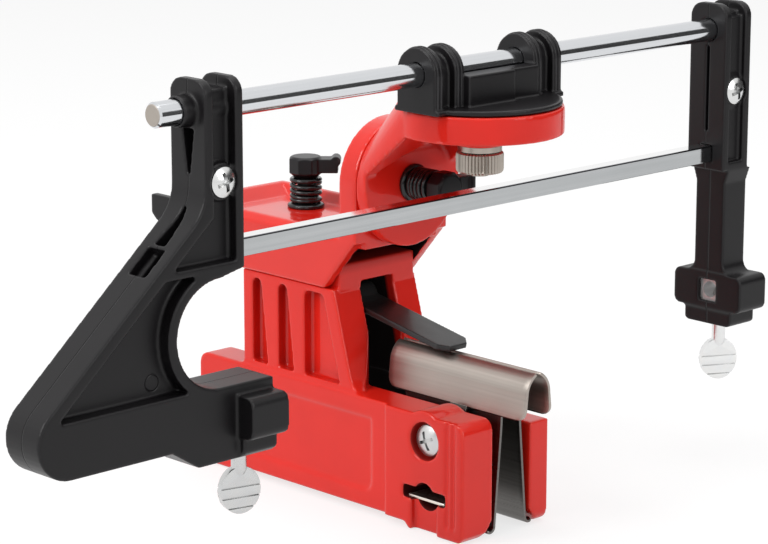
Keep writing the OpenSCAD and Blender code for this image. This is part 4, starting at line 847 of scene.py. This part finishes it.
# bar springs: long strips with a rolled foot, and the tab in the keyhole
gripSet = {"top": (4.3, 41.4), "bend": (4.6, 36.0), "foot": (7.4, 3.6), "curl": (9.3, 3.0), "curlR": 1.9,
    "curlFrom": 345, "curlTo": 215, "curlSteps": 10, "fillet": 2.0, "thick": 1.0, "corner": 1.2, "tabHalf": 8.5,
    "tabZ": (10.8, 11.8), "tabSink": 0.4, "tabRound": 0.2}
for node, side in [("near_bar_spring", -1), ("far_bar_spring", 1)]:
    name = "nearBarSpring" if side < 0 else "farBarSpring"
    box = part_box(node)
    curl = []
    for k in range(gripSet["curlSteps"] + 1):
        share = k / gripSet["curlSteps"]
        angle = math.radians(gripSet["curlFrom"] + (gripSet["curlTo"] - gripSet["curlFrom"]) * share)
        curl.append(Vector((gripSet["curl"][0] - gripSet["curlR"] * math.cos(angle),
            gripSet["curl"][1] + gripSet["curlR"] * math.sin(angle))))
    line = filleted([gripSet["top"], gripSet["bend"], gripSet["foot"]], gripSet["fillet"]) + curl
    stripSpan = (box[0][0] / mm, box[1][0] / mm)
    strip = bentSheet(name + "Strip", line, stripSpan, side, gripSet["thick"], gripSet["corner"])
    outer = box[0][1] if side < 0 else box[1][1]
    tabY = sorted([side * (gripSet["foot"][0] - gripSet["tabSink"]) * mm, outer])
    tabX = [(screwX - gripSet["tabHalf"]) * mm, (screwX + gripSet["tabHalf"]) * mm]
    tab = softBox(name + "Tab", (tabX[0], tabY[0], gripSet["tabZ"][0] * mm),
        (tabX[1], tabY[1], gripSet["tabZ"][1] * mm), gripSet["tabRound"] * mm)
    creased(dress(joined(name, [strip, tab]), gripSteel, node), creaseAt["sheets"])
print("bent sheets made")

for node, finish in {
    "pawl_pin": zinc, "saddle_bolt": boltSteel, "saddle_slide_nut": zinc, "tilt_bolt": boltSteel,
    "angle_washer": nutNickel, "swivel_stud": nutNickel, "guide_rod": rodChrome, "frame_nuts": zinc,
    "left_file_ferrule": socketZinc, "right_file_ferrule": socketZinc,
}.items():
    solid = frame["nodes"][node]
    for slotRow in solid.material_slots:
        slotRow.material = finish
print("metal finishes set")


# floor, backdrop light and lamps
def stageShader(net, lit, seen):  # white where the camera or a reflection sees it
    path = net.tree.nodes.new("ShaderNodeLightPath")
    eye = Wire(net, path.outputs["Is Camera Ray"])
    gloss = Wire(net, path.outputs["Is Glossy Ray"])
    through = Wire(net, path.outputs["Is Transmission Ray"])
    share = net.add("ShaderNodeMath", {"operation": "ADD", "use_clamp": True}, {0: eye + gloss, 1: through})
    return net.add("ShaderNodeMixShader", None, {0: share, 1: lit, 2: seen})


floorSet = {"half": 6.0, "z": -0.0004, "glow": 0.74, "tone": 0.30, "bounce": 0.75}
floorMesh = bpy.data.meshes.new("floor")
half = floorSet["half"]
corners = [(-half, -half), (half, -half), (half, half), (-half, half)]
floorMesh.from_pydata([(x, y, floorSet["z"]) for x, y in corners], [], [(0, 1, 2, 3)])
floor = newPiece("floor", floorMesh)
floorFinish = bpy.data.materials.new("paleFloor")
floorFinish.use_nodes = True
floorFinish.node_tree.nodes.clear()
net = Net(floorFinish.node_tree)
tone = (floorSet["tone"],) * 3 + (1,)
bounce = (floorSet["bounce"],) * 3 + (1,)
glow = net.add("ShaderNodeEmission", None, {"Color": (1, 1, 1, 1), "Strength": floorSet["glow"]})
plain = net.add("ShaderNodeBsdfDiffuse", None, {"Color": tone})
seen = net.add("ShaderNodeAddShader", None, {0: glow, 1: plain})
lit = net.add("ShaderNodeBsdfDiffuse", None, {"Color": bounce})
net.add("ShaderNodeOutputMaterial", None, {"Surface": stageShader(net, lit, seen)})
floorMesh.materials.append(floorFinish)

cardSet = {"from": 22, "to": 112, "steps": 9, "distance": 1.3, "low": 0.0, "high": 0.62, "tone": 0.05,
    "rough": 0.9}
cardMesh = bpy.data.meshes.new("darkCard")  # the dark side of the studio, seen only in reflections
cardPoints = []
for k in range(cardSet["steps"] + 1):
    turn = math.radians(cardSet["from"] + (cardSet["to"] - cardSet["from"]) * k / cardSet["steps"])
    away = Vector((math.cos(turn), math.sin(turn), 0)) * cardSet["distance"]
    cardPoints += [away + Vector((0, 0, cardSet[edge])) for edge in ("low", "high")]
cardFaces = [(2 * k, 2 * k + 2, 2 * k + 3, 2 * k + 1) for k in range(cardSet["steps"])]
cardMesh.from_pydata(cardPoints, [], cardFaces)
card = newPiece("darkCard", cardMesh)
cardTone = (cardSet["tone"],) * 3 + (1,)
cardMesh.materials.append(newFinish("darkCard", {"Base Color": cardTone, "Roughness": cardSet["rough"]})[0])
card.visible_camera = False
card.visible_diffuse = False
card.visible_shadow = False

world = bpy.data.worlds.new("studio")
scene.world = world
world.use_nodes = True
world.node_tree.nodes.clear()
net = Net(world.node_tree)
worldSet = {"fill": 0.44, "back": 1.0}
soft = net.add("ShaderNodeBackground", None, {"Color": (1, 1, 1, 1), "Strength": worldSet["fill"]})
white = net.add("ShaderNodeBackground", None, {"Color": (1, 1, 1, 1), "Strength": worldSet["back"]})
net.add("ShaderNodeOutputWorld", None, {"Surface": stageShader(net, soft, white)})

lampSet = {  # place, aim, width, power
    "key": ((-0.35, -1.45, 1.15), (0, 0, 0.09), 0.9, 16.0),
    "front": ((1.5, 0.35, 0.75), (0, 0, 0.09), 0.8, 6.0),
    "top": ((-0.1, 0.1, 1.5), (0, 0, 0.1), 1.1, 8.0),
}
for name, (place, aim, width, power) in lampSet.items():
    lamp = bpy.data.lights.new(name, "AREA")
    lamp.size = width
    lamp.energy = power
    holder = bpy.data.objects.new(name, lamp)
    holder.location = place
    holder.rotation_euler = (Vector(aim) - Vector(place)).to_track_quat("-Z", "Y").to_euler()
    scene.collection.objects.link(holder)
print("stage and lamps set")
